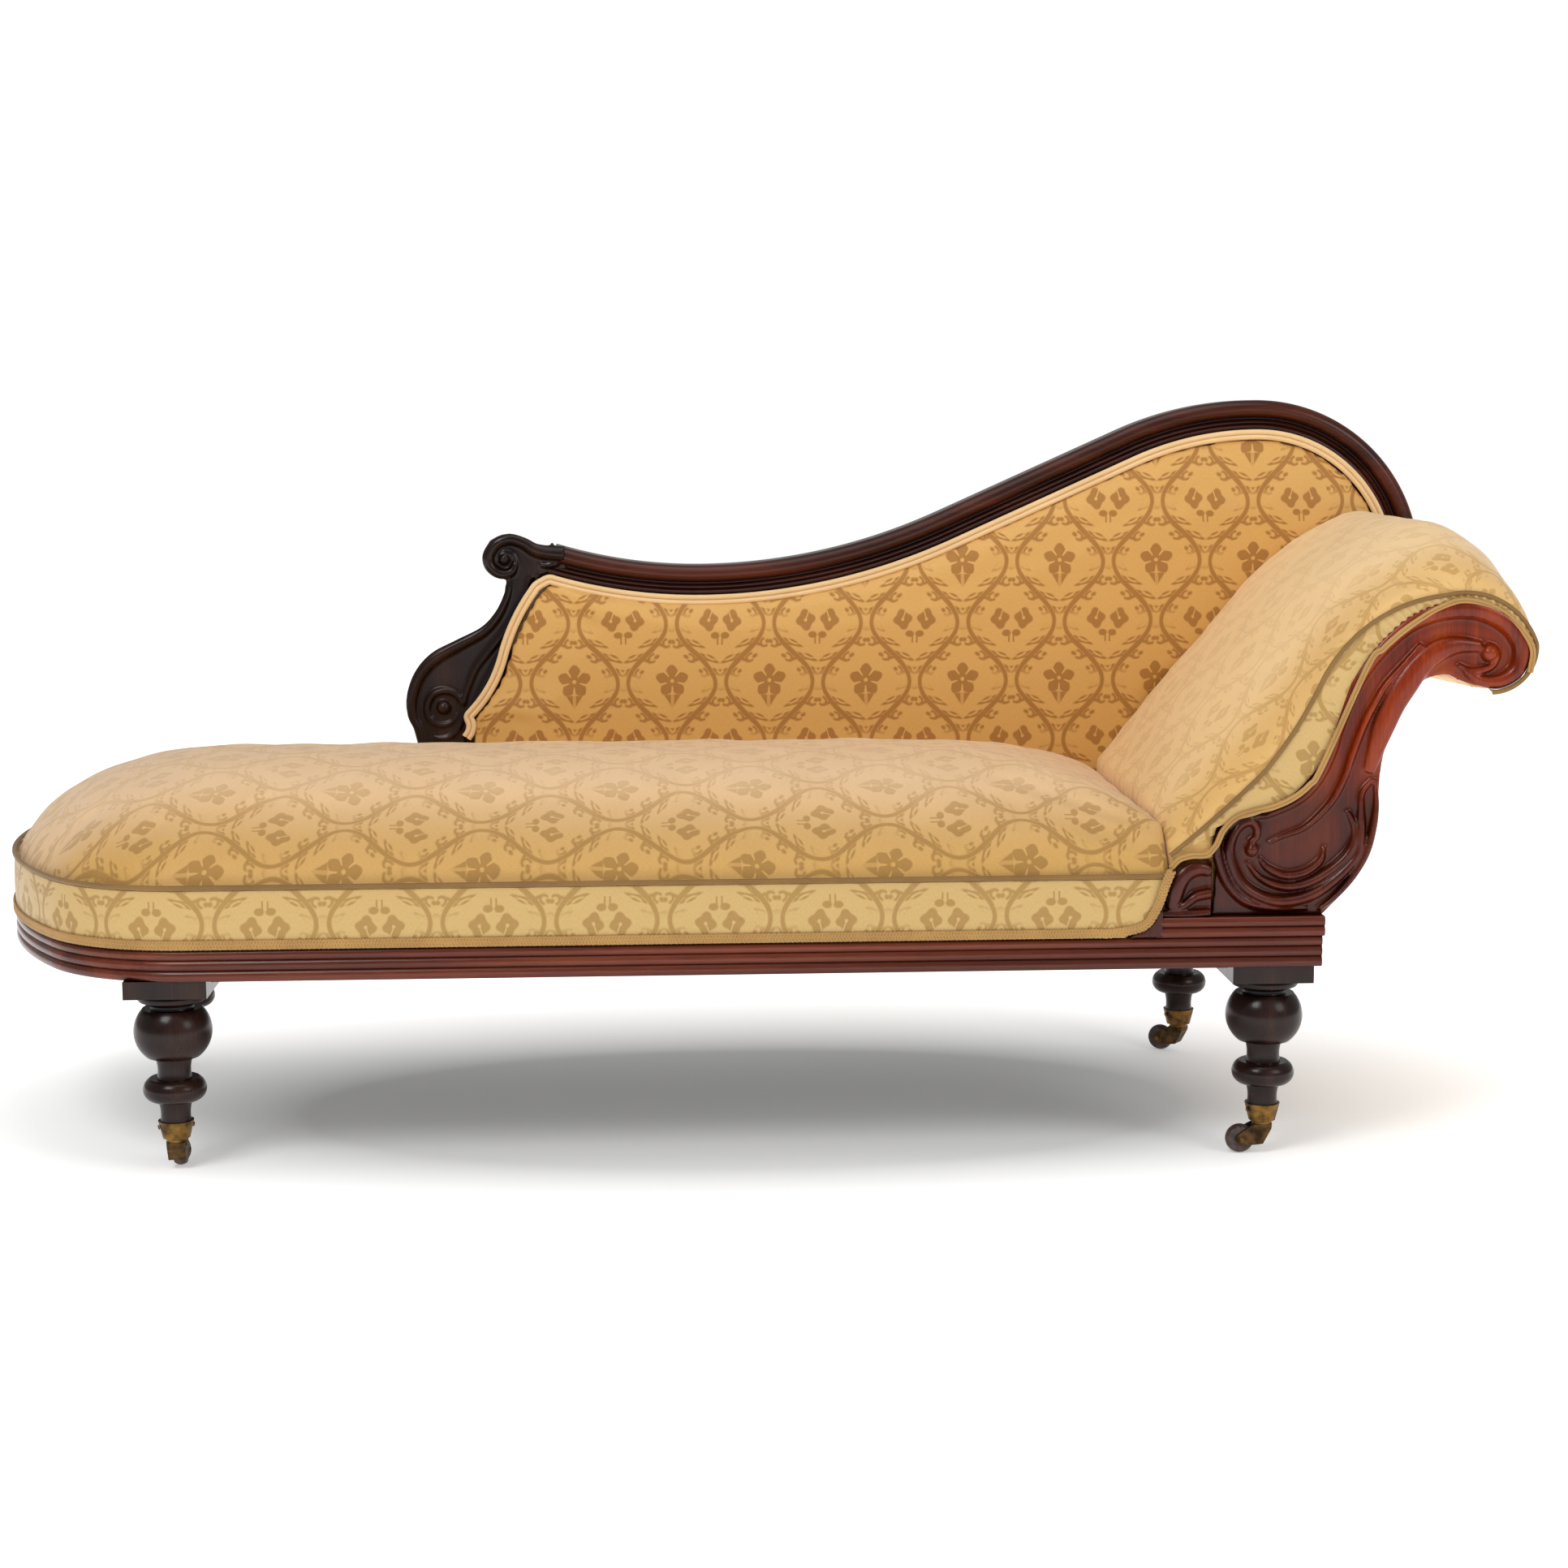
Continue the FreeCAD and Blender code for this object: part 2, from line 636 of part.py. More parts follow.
def make_fork(name, x, y, angle):
    """The swivelling fork: plate and spindle under the cup, sloping horn and two cheeks."""
    body = new_body("caster_fork_" + name)
    top = size("cup_base") - size("swivel_gap")
    plate_base = top - size("fork_plate_height")
    radius = size("wheel_diameter") / 2
    trail = size("wheel_trail")
    inner = size("wheel_width") / 2 + size("wheel_side_gap")
    outer = inner + size("cheek_thickness")
    plate = size("fork_plate_diameter") / 2
    axis = Size(0.0, "0")
    cheek = new_sketch(body, f"fork_{name}_cheek", "XZ_Plane")
    draw(
        cheek,
        [
            (plate * -0.8, plate_base),
            (axis, radius - 5, radius * -0.05),
            (trail - 2, radius - 6, Size(-5.0, "-5")),
            (trail + 4, radius + 5, Size(-1.0, "-1")),
            (plate * 0.8, top),
            (plate * -0.8, top),
        ],
    )
    pad(body, f"fork_{name}_horn", cheek, outer * 2, middle=True)
    slot = new_sketch(body, f"fork_{name}_slot", "XY_Plane")
    clear = trail - radius - 2
    draw_box(slot, clear, -inner, trail + radius + 4, inner)
    cut(body, f"fork_{name}_slot_cut", slot, top + 1, reverse=True)
    disc = new_sketch(body, f"fork_{name}_plate", "XY_Plane", plate_base)
    draw_circle(disc, axis, axis, plate)
    pad(body, f"fork_{name}_plate_pad", disc, size("fork_plate_height"))
    spindle = new_sketch(body, f"fork_{name}_spindle", "XY_Plane", plate_base)
    draw_circle(spindle, axis, axis, size("spindle_diameter") / 2)
    reach = size("fork_plate_height") + size("swivel_gap") + size("cup_floor")
    pad(body, f"fork_{name}_spindle_pad", spindle, reach + size("swivel_gap") + 0.5)
    head = new_sketch(body, f"fork_{name}_rivet", "XY_Plane", size("cup_base") + size("cup_floor") + 0.3)
    draw_circle(head, axis, axis, size("spindle_head_diameter") / 2)
    pad(body, f"fork_{name}_rivet_pad", head, size("spindle_head_height"))
    bore = new_sketch(body, f"fork_{name}_bore", "XZ_Plane", outer * -1 - 1)
    draw_circle(bore, trail, radius, size("axle_diameter") / 2 + 0.02)
    cut(body, f"fork_{name}_bore_cut", bore, outer * 2 + 2, reverse=True)
    place(body, x, y, angle)
    return body


def make_wheel(name, x, y, angle):
    """A solid turned wheel with rounded tread, bored for its axle."""
    body = new_body("caster_wheel_" + name)
    radius = size("wheel_diameter") / 2
    half = size("wheel_width") / 2
    trail = size("wheel_trail")
    profile = new_sketch(body, f"wheel_{name}_section", "YZ_Plane", trail)
    bore = size("axle_diameter") / 2 + size("fit_gap")
    draw(
        profile,
        [
            (-half, radius + bore),
            (half, radius + bore),
            (half, radius * 2 - 2.5, Size(-2.5, "-2.5")),
            (-half, radius * 2 - 2.5),
        ],
    )
    feature = body.newObject("PartDesign::Revolution", f"wheel_{name}_turning")
    feature.Profile = profile
    line = profile.addGeometry(Part.LineSegment(Vector(-5, float(radius), 0), Vector(5, float(radius), 0)), True)
    profile.addConstraint(Sketcher.Constraint("Horizontal", line))
    bind(profile, "DistanceY", (line, 1), radius)
    bind(profile, "DistanceX", (line, 1), Size(-5.0, "-5"))
    bind(profile, "DistanceX", (line, 2), Size(5.0, "5"))
    feature.ReferenceAxis = (profile, ["Axis0"])
    feature.Angle = 360
    place(body, x, y, angle)
    return body


def make_axle(name, x, y, angle):
    """The riveted axle, with a low head outside each cheek."""
    body = new_body("caster_axle_" + name)
    outer = size("wheel_width") / 2 + size("wheel_side_gap") + size("cheek_thickness")
    sketch = new_sketch(body, f"axle_{name}_circle", "XZ_Plane")
    draw_circle(sketch, size("wheel_trail"), size("wheel_diameter") / 2, size("axle_diameter") / 2)
    pad(body, f"axle_{name}_pin", sketch, outer * 2 + 2, middle=True)
    place(body, x, y, angle)
    return body


CASTER_ANGLES = {"front_left": 90, "front_right": 180, "rear_left": 125, "rear_right": 145}


def make_cup_screws():
    """Two screws through the rim of each cup into the leg."""
    screws = []
    for x, y in leg_places().values():
        for angle in (20, 200):
            out = Vector(math.cos(math.radians(angle)), math.sin(math.radians(angle)), 0)
            z = mm("cup_top") - 7
            span = mm("cup_top") - mm("cup_base")
            slope = (mm("cup_top_diameter") - mm("cup_base_diameter")) / 2 / span
            face = mm("cup_top_diameter") / 2 - slope * 7
            at = Vector(float(x), float(y), z) + out * face
            normal = (out - Vector(0, 0, slope)).normalize()
            screws.append(Part.makeCylinder(2.6, 1.4, at + normal * 0.3, normal))
    return new_solid("cup_screws", Part.makeCompound(screws))


# Head end


def blend(at):
    """How far a crown has risen at a share of its reach, from 0 to 1."""
    at = min(max(at, 0.0), 1.0)
    return (1 - (1 - at) ** 1.6) ** 0.62


def head_at(across, rise):
    """A point of the head end, by its share of the way from the seat's seam to the volute."""
    seam = mm("seat_head_x")
    return seam + across * (mm("volute_x") - seam), RAIL_TOP + rise * (mm("volute_z") - RAIL_TOP)


def head_outline(swell, low):
    """Outline of the head rest, from the piping line (swell 0) to its full crown (swell 1)."""
    seam = mm("seat_head_x") + SEAM
    at = mm("volute_x")
    up = mm("volute_z")
    edge = mm("volute_radius")
    piped = [
        (seam, low, 0),
        (seam, EAR_TOP + 5, -2),
        (*head_at(0.294, 0.579), -4),
        (*head_at(0.473, 0.899), 22),
        (at - 52, up + 62, 23),
        (at + edge + 8, up + 6, 16),
        (at + 4, up - edge - 4, 3),
    ]
    full = [
        (seam, low, 0),
        (seam, EAR_TOP + 51, 0),
        (*head_at(0.225, 0.744), 0),
        (*head_at(0.5, 1.101), 14),
        (at - 27, up + 141, 28),
        (at + edge + 12.3, up + 45, 33),
        (at + 4, up - edge - 4, 3),
    ]
    inner = [
        tuple(one + (other - one) * swell for one, other in zip(before, after))
        for before, after in zip(piped, full)
    ]
    return inner + outer_curve(low)


def outer_curve(low):
    """The outside of the head end, from under the roll down to the frame."""
    at = mm("volute_x")
    up = mm("volute_z")
    return [
        (at - 45, up - 29, -9),
        (at - 97, up - 59, -5),
        (at - 122, up - 151, 4),
        (at - 141, up - 251, 2),
        (mm("frame_head_x") - 1, low, 0),
    ]


def head_loft(y0, y1, low):
    """The stuffed head rest between its front piping and its flat rear end."""
    wires = []
    for level in (0, 0.048, 0.16, 0.38, 0.68, 1):
        wires.append(upright_outline(y0 + level * mm("crown_reach"), head_outline(blend(level), low)))
    wires.append(upright_outline(y1, head_outline(0.98, low)))
    return Part.makeLoft(wires, True, False)


def scroll_outline(low):
    """Front outline of the carved scroll: neck, roll and volute."""
    at = mm("volute_x")
    up = mm("volute_z")
    edge = mm("volute_radius")
    return [
        (mm("seat_head_x") + 50, low, -3),
        (*head_at(0.14, 0.359), 7),
        (*head_at(0.203, 0.411), -8),
        (*head_at(0.42, 0.536), -9),
        (*head_at(0.574, 0.878), 12),
        (at - 42, up + 54, 16),
        (at + edge, up, 19),
        (at, up - edge, 2),
        *outer_curve(low)[:-1],
        (mm("frame_head_x") + 2, low, 0),
    ]


def make_head_scroll():
    """The carved front scroll: board, bead on its inner edge, channel, volute and leaf rims."""
    front = FRONT - mm("scroll_proud")
    base = board(scroll_outline(PLINTH_TOP), front + 6, BOARD_BACK)
    at = mm("volute_x")
    up = mm("volute_z")
    edge = mm("volute_radius")
    bead_path = upright_outline(
        front + 6,
        [
            (mm("seat_head_x") + 59, PLINTH_TOP + 12, -3),
            (*head_at(0.162, 0.356), 5),
            (*head_at(0.214, 0.386), -8),
            (*head_at(0.44, 0.518), -9),
            (*head_at(0.596, 0.863), 12),
            (at - 40, up + 45, 14),
            (at + edge - 9, up, 0),
        ],
        closed=False,
    )
    bead = rounded_bead(bead_path, 7)
    disc = Part.makeCylinder(edge - 1, 6, Vector(at, front + 6, up), Vector(0, -1, 0))
    eye = Part.makeSphere(14, Vector(at, front + 4, up))
    whole = base.multiFuse([bead, disc, eye]).removeSplitter()
    ring = Part.makeTorus(edge - 15, 5, Vector(at, front, up), Vector(0, 1, 0))
    whole = whole.cut(ring)
    keep = box(0, 2000, front, BOARD_BACK, 0, 2000)
    return new_solid("head_scroll_front", whole.common(keep))


def rounded_bead(wire, radius):
    """A half-round bead along a wire that may have corners."""
    first = wire.Edges[0]
    start = first.valueAt(first.FirstParameter)
    along = first.tangentAt(first.FirstParameter)
    section = Part.Wire([Part.Circle(start, along, radius).toShape()])
    return wire.makePipeShell([section], True, False)


def make_head_frame():
    """Rear head board, the rail inside the roll and the lower stuffing rail."""
    rear = BACK_FRONT
    front = PAD_FRONT
    low = STRIP_TOP
    at = mm("volute_x")
    up = mm("volute_z")
    outline = [
        (mm("seat_head_x") + 52, low, 0),
        (*head_at(0.17, 0.405), 0),
        (*head_at(0.445, 0.771), 0),
        (*head_at(0.61, 1.015), 18),
        (at + 10, up + 40, 30),
        (at + 5, up - 25, 0),
        (at - 65, up - 15, 0),
        (at - 108, up - 80, 0),
        (at - 140, up - 160, 0),
        (at - 158, up - 251, 0),
        (mm("frame_head_x") - 20, low, 0),
    ]
    rear_board = board(outline, front, rear)
    new_solid("head_scroll_rear", rear_board)
    rail = Part.makeCylinder(22, front - BOARD_BACK, Vector(at, BOARD_BACK, up), Vector(0, 1, 0))
    new_solid("head_top_rail", rail)
    end = mm("frame_head_x")
    lower = box(end - 45, end - 15, BOARD_BACK, front, STRIP_TOP + 40, STRIP_TOP + 90)
    new_solid("head_lower_rail", lower)
    return rail, lower, upright_outline(150, outline)


def grown(wire, gap):
    """The face inside a flat wire moved outwards by gap."""
    return Part.Face(wire.makeOffset2D(gap))


def make_head_upholstery(rail, lower):
    """Stuffing and cover of the head rest, fitted round the scroll and the rails inside it."""
    gap = mm("cloth_gap")
    radius = mm("piping_radius")
    front = FRONT + radius * 2
    at = mm("volute_x")
    up = mm("volute_z")
    whole = head_loft(front, PAD_FRONT - gap, STRIP_TOP + gap)
    for outline in (scroll_outline(PLINTH_TOP), ear_outline()):
        face = grown(upright_outline(front - 1, outline), gap)
        whole = whole.cut(face.extrude(Vector(0, BOARD_BACK + gap - front + 1, 0)))
    centre = Vector(*head_at(0.555, 0)[:1], 0, head_at(0, 0.65)[1])
    matrix = FreeCAD.Matrix()
    matrix.move(-centre)
    matrix.scale(0.975, 1.0, 0.975)
    matrix.move(centre)
    inside = whole.copy().transformGeometry(matrix).common(whole)
    cover = whole.cut(inside)
    stuffing = inside
    for piece in (rail, lower):
        stuffing = stuffing.cut(piece)
        cover = cover.cut(piece)
    region = [
        (mm("frame_head_x") - 65, STRIP_TOP - 10, 0),
        (at - 202, up - 175, 0),
        (at - 182, up - 95, 0),
        (at - 142, up - 46, 0),
        (at, up - 55, 0),
        (at + 58, STRIP_TOP - 10, 0),
    ]
    outside = board(region, -400, 400)
    new_solid("outside_head_cover", largest(cover.common(outside)))
    new_solid("head_cover", largest(cover.cut(outside)))
    new_solid("head_stuffing", largest(stuffing))
    path = upright_outline(front - radius - gap, head_outline(0, 0)[1:6], closed=False)
    new_solid("head_piping", rounded_bead(path, radius))
    make_head_gimp(front - gap)


def make_head_gimp(face_y):
    """The gimp on the cloth along the inner edge of the scroll."""
    scroll = upright_outline(face_y, scroll_outline(PLINTH_TOP))
    ring = grown(scroll, mm("gimp_width")).cut(grown(scroll, mm("cloth_gap")))
    cloth = upright_outline(face_y, head_outline(0, STRIP_TOP))
    inside = Part.Face(cloth.makeOffset2D(-mm("piping_radius") - 1))
    strip = ring.common(inside).extrude(Vector(0, -mm("gimp_thickness"), 0))
    above = box(0, 2000, -1000, 0, EAR_TOP + 3, 2000)
    new_solid("head_gimp", largest(strip.common(above)))


def largest(shape):
    """The biggest solid of a shape, without the slivers that a cut can leave."""
    return max(shape.Solids, key=lambda solid: solid.Volume)


def soft_wire(z, inset, head_x):
    """Plan outline of the seat's soft pieces; its corners tighten as it moves inwards."""
    kept = min(inset, NECK)
    return plan_wire(z, inset, head_x, (1 - (inset - kept) / (mm("frame_depth") / 2), kept))


def soft_prism(z0, z1, inset, head_x):
    """A straight block with the soft plan outline."""
    return Part.Face(soft_wire(z0, inset, head_x)).extrude(Vector(0, 0, z1 - z0))


def seat_form(skin):
    """The seat's outside moved inwards by skin: boxing, rebate for the piping and crowned top."""
    head = mm("seat_head_x") + 60
    radius = mm("piping_radius") + mm("cloth_gap")
    wall = mm("boxing_inset") + skin
    neck = wall + radius + 0.2
    shelf = PIPING_Z + radius - skin
    form = soft_prism(RAIL_TOP, PIPING_Z - radius - skin, wall, head)
    form = form.fuse(soft_prism(PIPING_Z - radius - skin, shelf, neck, head))
    wires = []
    for level in (0, 0.02, 0.06, 0.14, 0.26, 0.42, 0.62, 1.0):
        inset = neck + level * mm("crown_reach")
        end = mm("seat_head_x") + 45 - level * mm("crown_reach")
        wires.append(soft_wire(shelf + mm("seat_crown") * blend(level), inset, end))
    form = form.fuse(Part.makeLoft(wires, True, True))
    return form.common(box(-2000, mm("seat_head_x") - SEAM, -1000, 1000, 0, 2000))


def seat_clearance():
    """The room taken by the back, the S support, the ear and the plinth."""
    gap = mm("cloth_gap")
    low = RAIL_TOP - 1
    top = mm("back_crest_z")
    foot = foot_at(-127, 0)[0]
    show = BACK_FRONT - mm("back_proud")
    inner = FRONT + mm("rail_thickness")
    return [
        box(foot, EAR_X + 100, PAD_FRONT - gap, REAR + 50, low, top),
        box(foot - 79, foot, show - gap, REAR + 50, low, top),
        box(EAR_X - 2, EAR_X + 100, FRONT - 30, BOARD_BACK + gap, low, EAR_TOP),
        box(EAR_X - 2, EAR_X + 100, FRONT - 30, inner + gap, low, PLINTH_TOP + gap),
    ]


def spring_well(skin):
    """The room under the spring canvas, from the top of the rails to the underside of the stuffing."""
    rest = mm("rail_thickness") - 6 + skin
    head = mm("seat_head_x") - 2 - skin
    edge_rise = mm("boxing_height") - mm("tack_height") + 10
    wires = [
        soft_wire(STRIP_TOP - skin, rest, head),
        soft_wire(STRIP_TOP + edge_rise - skin, rest + 6, head - 6),
        soft_wire(CANVAS_Z - skin, rest + 65, head - 65),
    ]
    return Part.makeLoft(wires, True, True)


def make_seat_upholstery():
    """Cover, stuffing, spring canvas, piping and gimp of the seat."""
    outer = seat_form(0)
    inner = seat_form(mm("cover_thickness"))
    rails = plan_prism(0, STRIP_TOP, mm("rebate_depth") - mm("cloth_gap"), mm("seat_head_x") + 60)
    well = spring_well(0)
    canvas = well.cut(spring_well(1.5))
    cover = outer.cut(inner)
    stuffing = inner.cut(rails).cut(well)
    radius = mm("piping_radius")
    behind = foot_at(-207, 0)[0]
    path = plan_path(PIPING_Z, mm("boxing_inset") + 0.2, EAR_X - 2.5, behind)
    piping = tube(Part.Wire(path), radius)
    wide = plan_prism(RAIL_TOP, RAIL_TOP + mm("gimp_width"), -0.3, EAR_X - 2)
    gimp = wide.cut(plan_prism(0, 900, mm("boxing_inset") - mm("cloth_gap"), EAR_X + 2))
    room = seat_clearance()
    for name, piece in (("seat_cover", cover), ("seat_stuffing", stuffing), ("spring_canvas", canvas)):
        for taken in room:
            piece = piece.cut(taken)
        new_solid(name, largest(piece))
    new_solid("seat_piping", piping)
    new_solid("seat_gimp", largest(gimp.cut(box(behind, 600, 100, 400, 0, 900))))


def coil(x, y, z0, z1):
    """An hourglass coil spring of square wire, each turn drawn with straight facets."""
    facets = 6
    wire = mm("spring_wire") / 2
    stations = int(mm("spring_turns")) * facets
    sections = []
    for at in range(stations + 1):
        share = at / stations
        angle = 2 * math.pi * at / facets
        waist = abs(2 * share - 1)
        ring = mm("spring_waist_radius") + (mm("spring_end_radius") - mm("spring_waist_radius")) * waist
        out = Vector(math.cos(angle), math.sin(angle), 0)
        centre = Vector(x, y, z0 + wire + (z1 - z0 - 2 * wire) * share) + out * ring
        lift = Vector(0, 0, wire)
        side = out * wire
        corners = [centre - side - lift, centre + side - lift, centre + side + lift, centre - side + lift]
        sections.append(Part.makePolygon(corners + corners[:1]))
    return Part.makeLoft(sections, True, True)


def spring_places():
    """Plan positions of the seat springs, centred on the sprung well."""
    rows = int(mm("spring_rows"))
    columns = int(mm("spring_columns"))
    middle = (FOOT + mm("rail_thickness") + mm("seat_head_x")) / 2 + 8
    for column in range(columns):
        for row in range(rows):
            x = middle + (column - (columns - 1) / 2) * mm("spring_pitch_x")
            y = (row - (rows - 1) / 2) * mm("spring_pitch_y") - 20
            yield x, y


def make_springing():
    """Webbing under the rails, coil springs on it and the dust cover below."""
    base = mm("rail_base")
    thick = mm("webbing_thickness")
    wide = mm("webbing_width") / 2
    springs = [coil(x, y, base, CANVAS_Z - 1.5) for x, y in spring_places()]
    new_solid("seat_springs", Part.makeCompound(springs))
    across = []
    for x in sorted({x for x, _ in spring_places()}):
        across.append(box(x - wide, x + wide, FRONT + 20, REAR - 20, base - thick, base))
    clear = mm("leg_block") / 2 + 2
    room = Part.makeCompound(
        [
            box(float(x) - clear, float(x) + clear, float(y) - clear, float(y) + clear, 0, 400)
            for x, y in leg_places().values()
        ]
    )
    outline = plan_prism(base - 5, base, 20, mm("frame_head_x") - 20)
    new_solid("webbing_crosswise", Part.makeCompound([strap.common(outline).cut(room) for strap in across]))
    along = []
    for y in sorted({y for _, y in spring_places()}):
        strap = box(FOOT, mm("frame_head_x"), y - wide, y + wide, base - 2 * thick, base - thick)
        along.append(strap.common(outline))
    new_solid("webbing_lengthwise", Part.makeCompound(along))
    cloth = plan_prism(base - 2 * thick - mm("dust_cover_thickness"), base - 2 * thick, 14, mm("frame_head_x") - 14)
    new_solid("dust_cover", cloth.cut(room))


def make_plinth():
    """The moulding between the rail and the scroll."""
    body = new_body("head_plinth_front")
    low = size("rail_base") + size("rail_height")
    tall = size("plinth_height")
    depth = size("frame_depth") / -2
    bead = size("plinth_bead")
    face = depth - size("scroll_proud") + bead
    sketch = new_sketch(body, "plinth_section", "YZ_Plane", size("seat_head_x") - 16)
    draw(
        sketch,
        [
            (depth + size("rail_thickness"), low),
            (depth + size("rail_thickness"), low + tall),
            (face, low + tall, bead * -1),
            (face, low + tall / 2, bead * -1),
            (face, low),
        ],
    )
    pad(body, "plinth_length", sketch, size("frame_head_x") - size("seat_head_x") + 18)


def ear_outline():
    """Front outline of the ear, from the plinth up to its curled top."""
    end = mm("seat_head_x") + 49.5
    return [
        (EAR_X, PLINTH_TOP, -4),
        (EAR_X + 9, EAR_TOP - 32, -3),
        (EAR_X + 26, EAR_TOP - 4, 5),
        (EAR_X + 47, EAR_TOP - 1, -2),
        (end, EAR_TOP - 5, 0),
        (end, PLINTH_TOP, 0),
    ]


def make_ear():
    """The small carved ear at the foot of the scroll, in front of the seat's boxing."""
    front = FRONT - mm("scroll_proud")
    new_solid("ear_bracket", board(ear_outline(), front, BOARD_BACK))


# Back


def back_top(offset):
    """The serpentine top from left to right, moved inwards by offset, as (x, z, rise) corners."""
    low_x = mm("back_low_x")
    low_z = mm("back_low_z") - offset
    crest_x = mm("back_crest_x")
    left = mm("back_dip_left_radius") + offset
    right = mm("back_dip_right_radius") + offset
    slope = math.radians(mm("back_slope"))
    shoulder = mm("back_shoulder_radius") - offset
    left_turn = math.radians(mm("back_left_turn"))
    sag_left = left * (1 - math.cos(left_turn / 2))
    sag_right = right * (1 - math.cos(slope / 2))
    rise_start = (low_x + right * math.sin(slope), low_z + right * (1 - math.cos(slope)))
    drop = mm("back_crest_z") - offset - rise_start[1]
    run = crest_x - rise_start[0]
    crest_radius = (run * math.sin(slope) - drop * math.cos(slope)) / (1 - math.cos(slope))
    line_end = (
        crest_x - crest_radius * math.sin(slope),
        mm("back_crest_z") - offset - crest_radius * (1 - math.cos(slope)),
    )
    fall = math.radians(mm("back_fall"))
    end = (
        crest_x + shoulder * math.sin(fall),
        mm("back_crest_z") - offset - shoulder * (1 - math.cos(fall)),
    )
    return [
        (low_x - left * math.sin(left_turn), low_z + left * (1 - math.cos(left_turn)), -sag_left),
        (low_x, low_z, -sag_right),
        (*rise_start, 0),
        (*line_end, crest_radius * (1 - math.cos(slope / 2))),
        (crest_x, mm("back_crest_z") - offset, shoulder * (1 - math.cos(fall / 2))),
        (*end, 0),
    ]


def reversed_path(corners):
    """The same path run the other way."""
    turned = []
    for at in range(len(corners) - 1, -1, -1):
        rise = -corners[at - 1][2] if at > 0 else 0
        turned.append((corners[at][0], corners[at][1], rise))
    return turned


def foot_at(across, rise, bow=0):
    """A corner of the S support: across from the end of the top rail, at a share of its height."""
    end = back_top(0)[0]
    return end[0] + across, STRIP_TOP + rise * (end[1] - STRIP_TOP), bow


def support_outline():
    """Outline of the S support under the foot end of the top rail."""
    return [
        foot_at(-62.2, 0.887, 5),
        foot_at(-75, 0.767, 12),
        foot_at(-166, 0.628, -12),
        foot_at(-197, 0.432, 8),
        foot_at(-177, 0),
        foot_at(-125, 0, 4),
        foot_at(-121, 0.432, -6),
        foot_at(-75, 0.628, 6),
        foot_at(-27.2, 0.9),
    ]


def make_back_frame():
    """Serpentine top rail and S support at the foot end, each with a ledge behind the cloth."""
    show = BACK_FRONT - mm("back_proud")
    band = mm("back_band")
    curl = [
        foot_at(-27, 0.901, 2),
        foot_at(-62, 0.888, 26),
        foot_at(-101, 1.0, 14),
        foot_at(-70, 1.046, 4),
    ]
    top = back_top(0) + reversed_path(back_top(band)) + curl
    ledge = back_top(band - 5) + reversed_path(back_top(band + mm("back_ledge")))
    rail = board(top, show, BACK_REAR).fuse(board(ledge, BACK_FRONT, BACK_REAR))
    support = board(support_outline(), show, BACK_REAR)
    x, z, _ = foot_at(-154, 0.4625)
    knob = Part.makeCylinder(24, BACK_REAR - show, Vector(x, BACK_REAR, z), Vector(0, -1, 0))
    support = support.fuse(knob).removeSplitter()
    new_solid("back_foot_scroll", support)
    new_solid("back_top_rail", largest(rail.cut(support)))
    return support


def head_edge(low):
    """The head end of the back, below the top rail: it follows the outside of the scroll."""
    end = back_top(mm("back_band"))[-1]
    at = mm("volute_x")
    up = mm("volute_z")
    return [
        (mm("frame_head_x") - 2, low, -2),
        (at - 141, up - 251, -4),
        (at - 122, up - 151, 5),
        (at - 97, up - 59, 9),
        (at - 45, up - 29, 0),
        (at - 5, up, -8),
        (end[0] + 10, end[1] - 1, 0),
    ]


def make_back_structure(support):
    """Shaped upright at the head end and lower rail, both on the tacking strip of the rear rail."""
    front = BACK_FRONT
    low = STRIP_TOP
    post = mm("frame_head_x") - 15
    lower = box(foot_at(-140, 0)[0], post, front, BACK_REAR, low, low + 45)
    new_solid("back_lower_rail", largest(lower.cut(support)))
    inner = reversed_path(back_top(mm("back_band")))
    top = [corner for corner in inner if corner[0] > post]
    crest = mm("back_crest_z") - 29
    outline = head_edge(low) + [top[0], (post, crest, 0), (post, low, 0)]
    upright = board([(x, z, rise) for x, z, rise in outline], front, BACK_REAR)
    ledge = reversed_path(back_top(mm("back_band") + mm("back_ledge")))
    band = board(back_top(0) + ledge, front, BACK_REAR)
    new_solid("back_head_upright", largest(upright.cut(band)))


def pad_outline(y, inset):
    """Outline of the back's padding, drawn in by inset as its crown rises."""
    gap = mm("cloth_gap")
    inner = back_top(mm("back_band") + gap)
    corners = [
        (foot_at(-120.4, 0)[0], STRIP_TOP + gap, 4),
        foot_at(-120.4, 0.432, -6),
        foot_at(-74, 0.628, 6),
        foot_at(-23, 0.888),
        *inner,
        (mm("volute_x") - 2, mm("volute_z") + 25, 0),
        (*head_at(0.335, 0.649), 0),
        (mm("seat_head_x") + 82, STRIP_TOP + gap, 0),
    ]
    wire = upright_outline(y, corners)
    if not inset:
        return wire
    box_of = wire.BoundBox
    matrix = FreeCAD.Matrix()
    centre = Vector(box_of.Center.x, y, box_of.Center.z)
    matrix.move(-centre)
    matrix.scale(1 - 2 * inset / box_of.XLength, 1, 1 - 2 * inset / box_of.ZLength)
    matrix.move(centre)
    return wire.transformGeometry(matrix)


def pad_form(skin):
    """The crowned padding of the back, skin deep inside its cover."""
    rear = BACK_FRONT - 1.5
    depth = rear - PAD_FRONT
    wires = [pad_outline(rear, skin)]
    for share in (0.15, 0.45, 0.75, 1.0):
        inset = skin + 90 * (1 - (1 - share**2.2) ** 0.5)
        wires.append(pad_outline(rear - share * depth + skin * share, inset))
    return Part.makeLoft(wires, True, True).cut(gimp_room(skin))


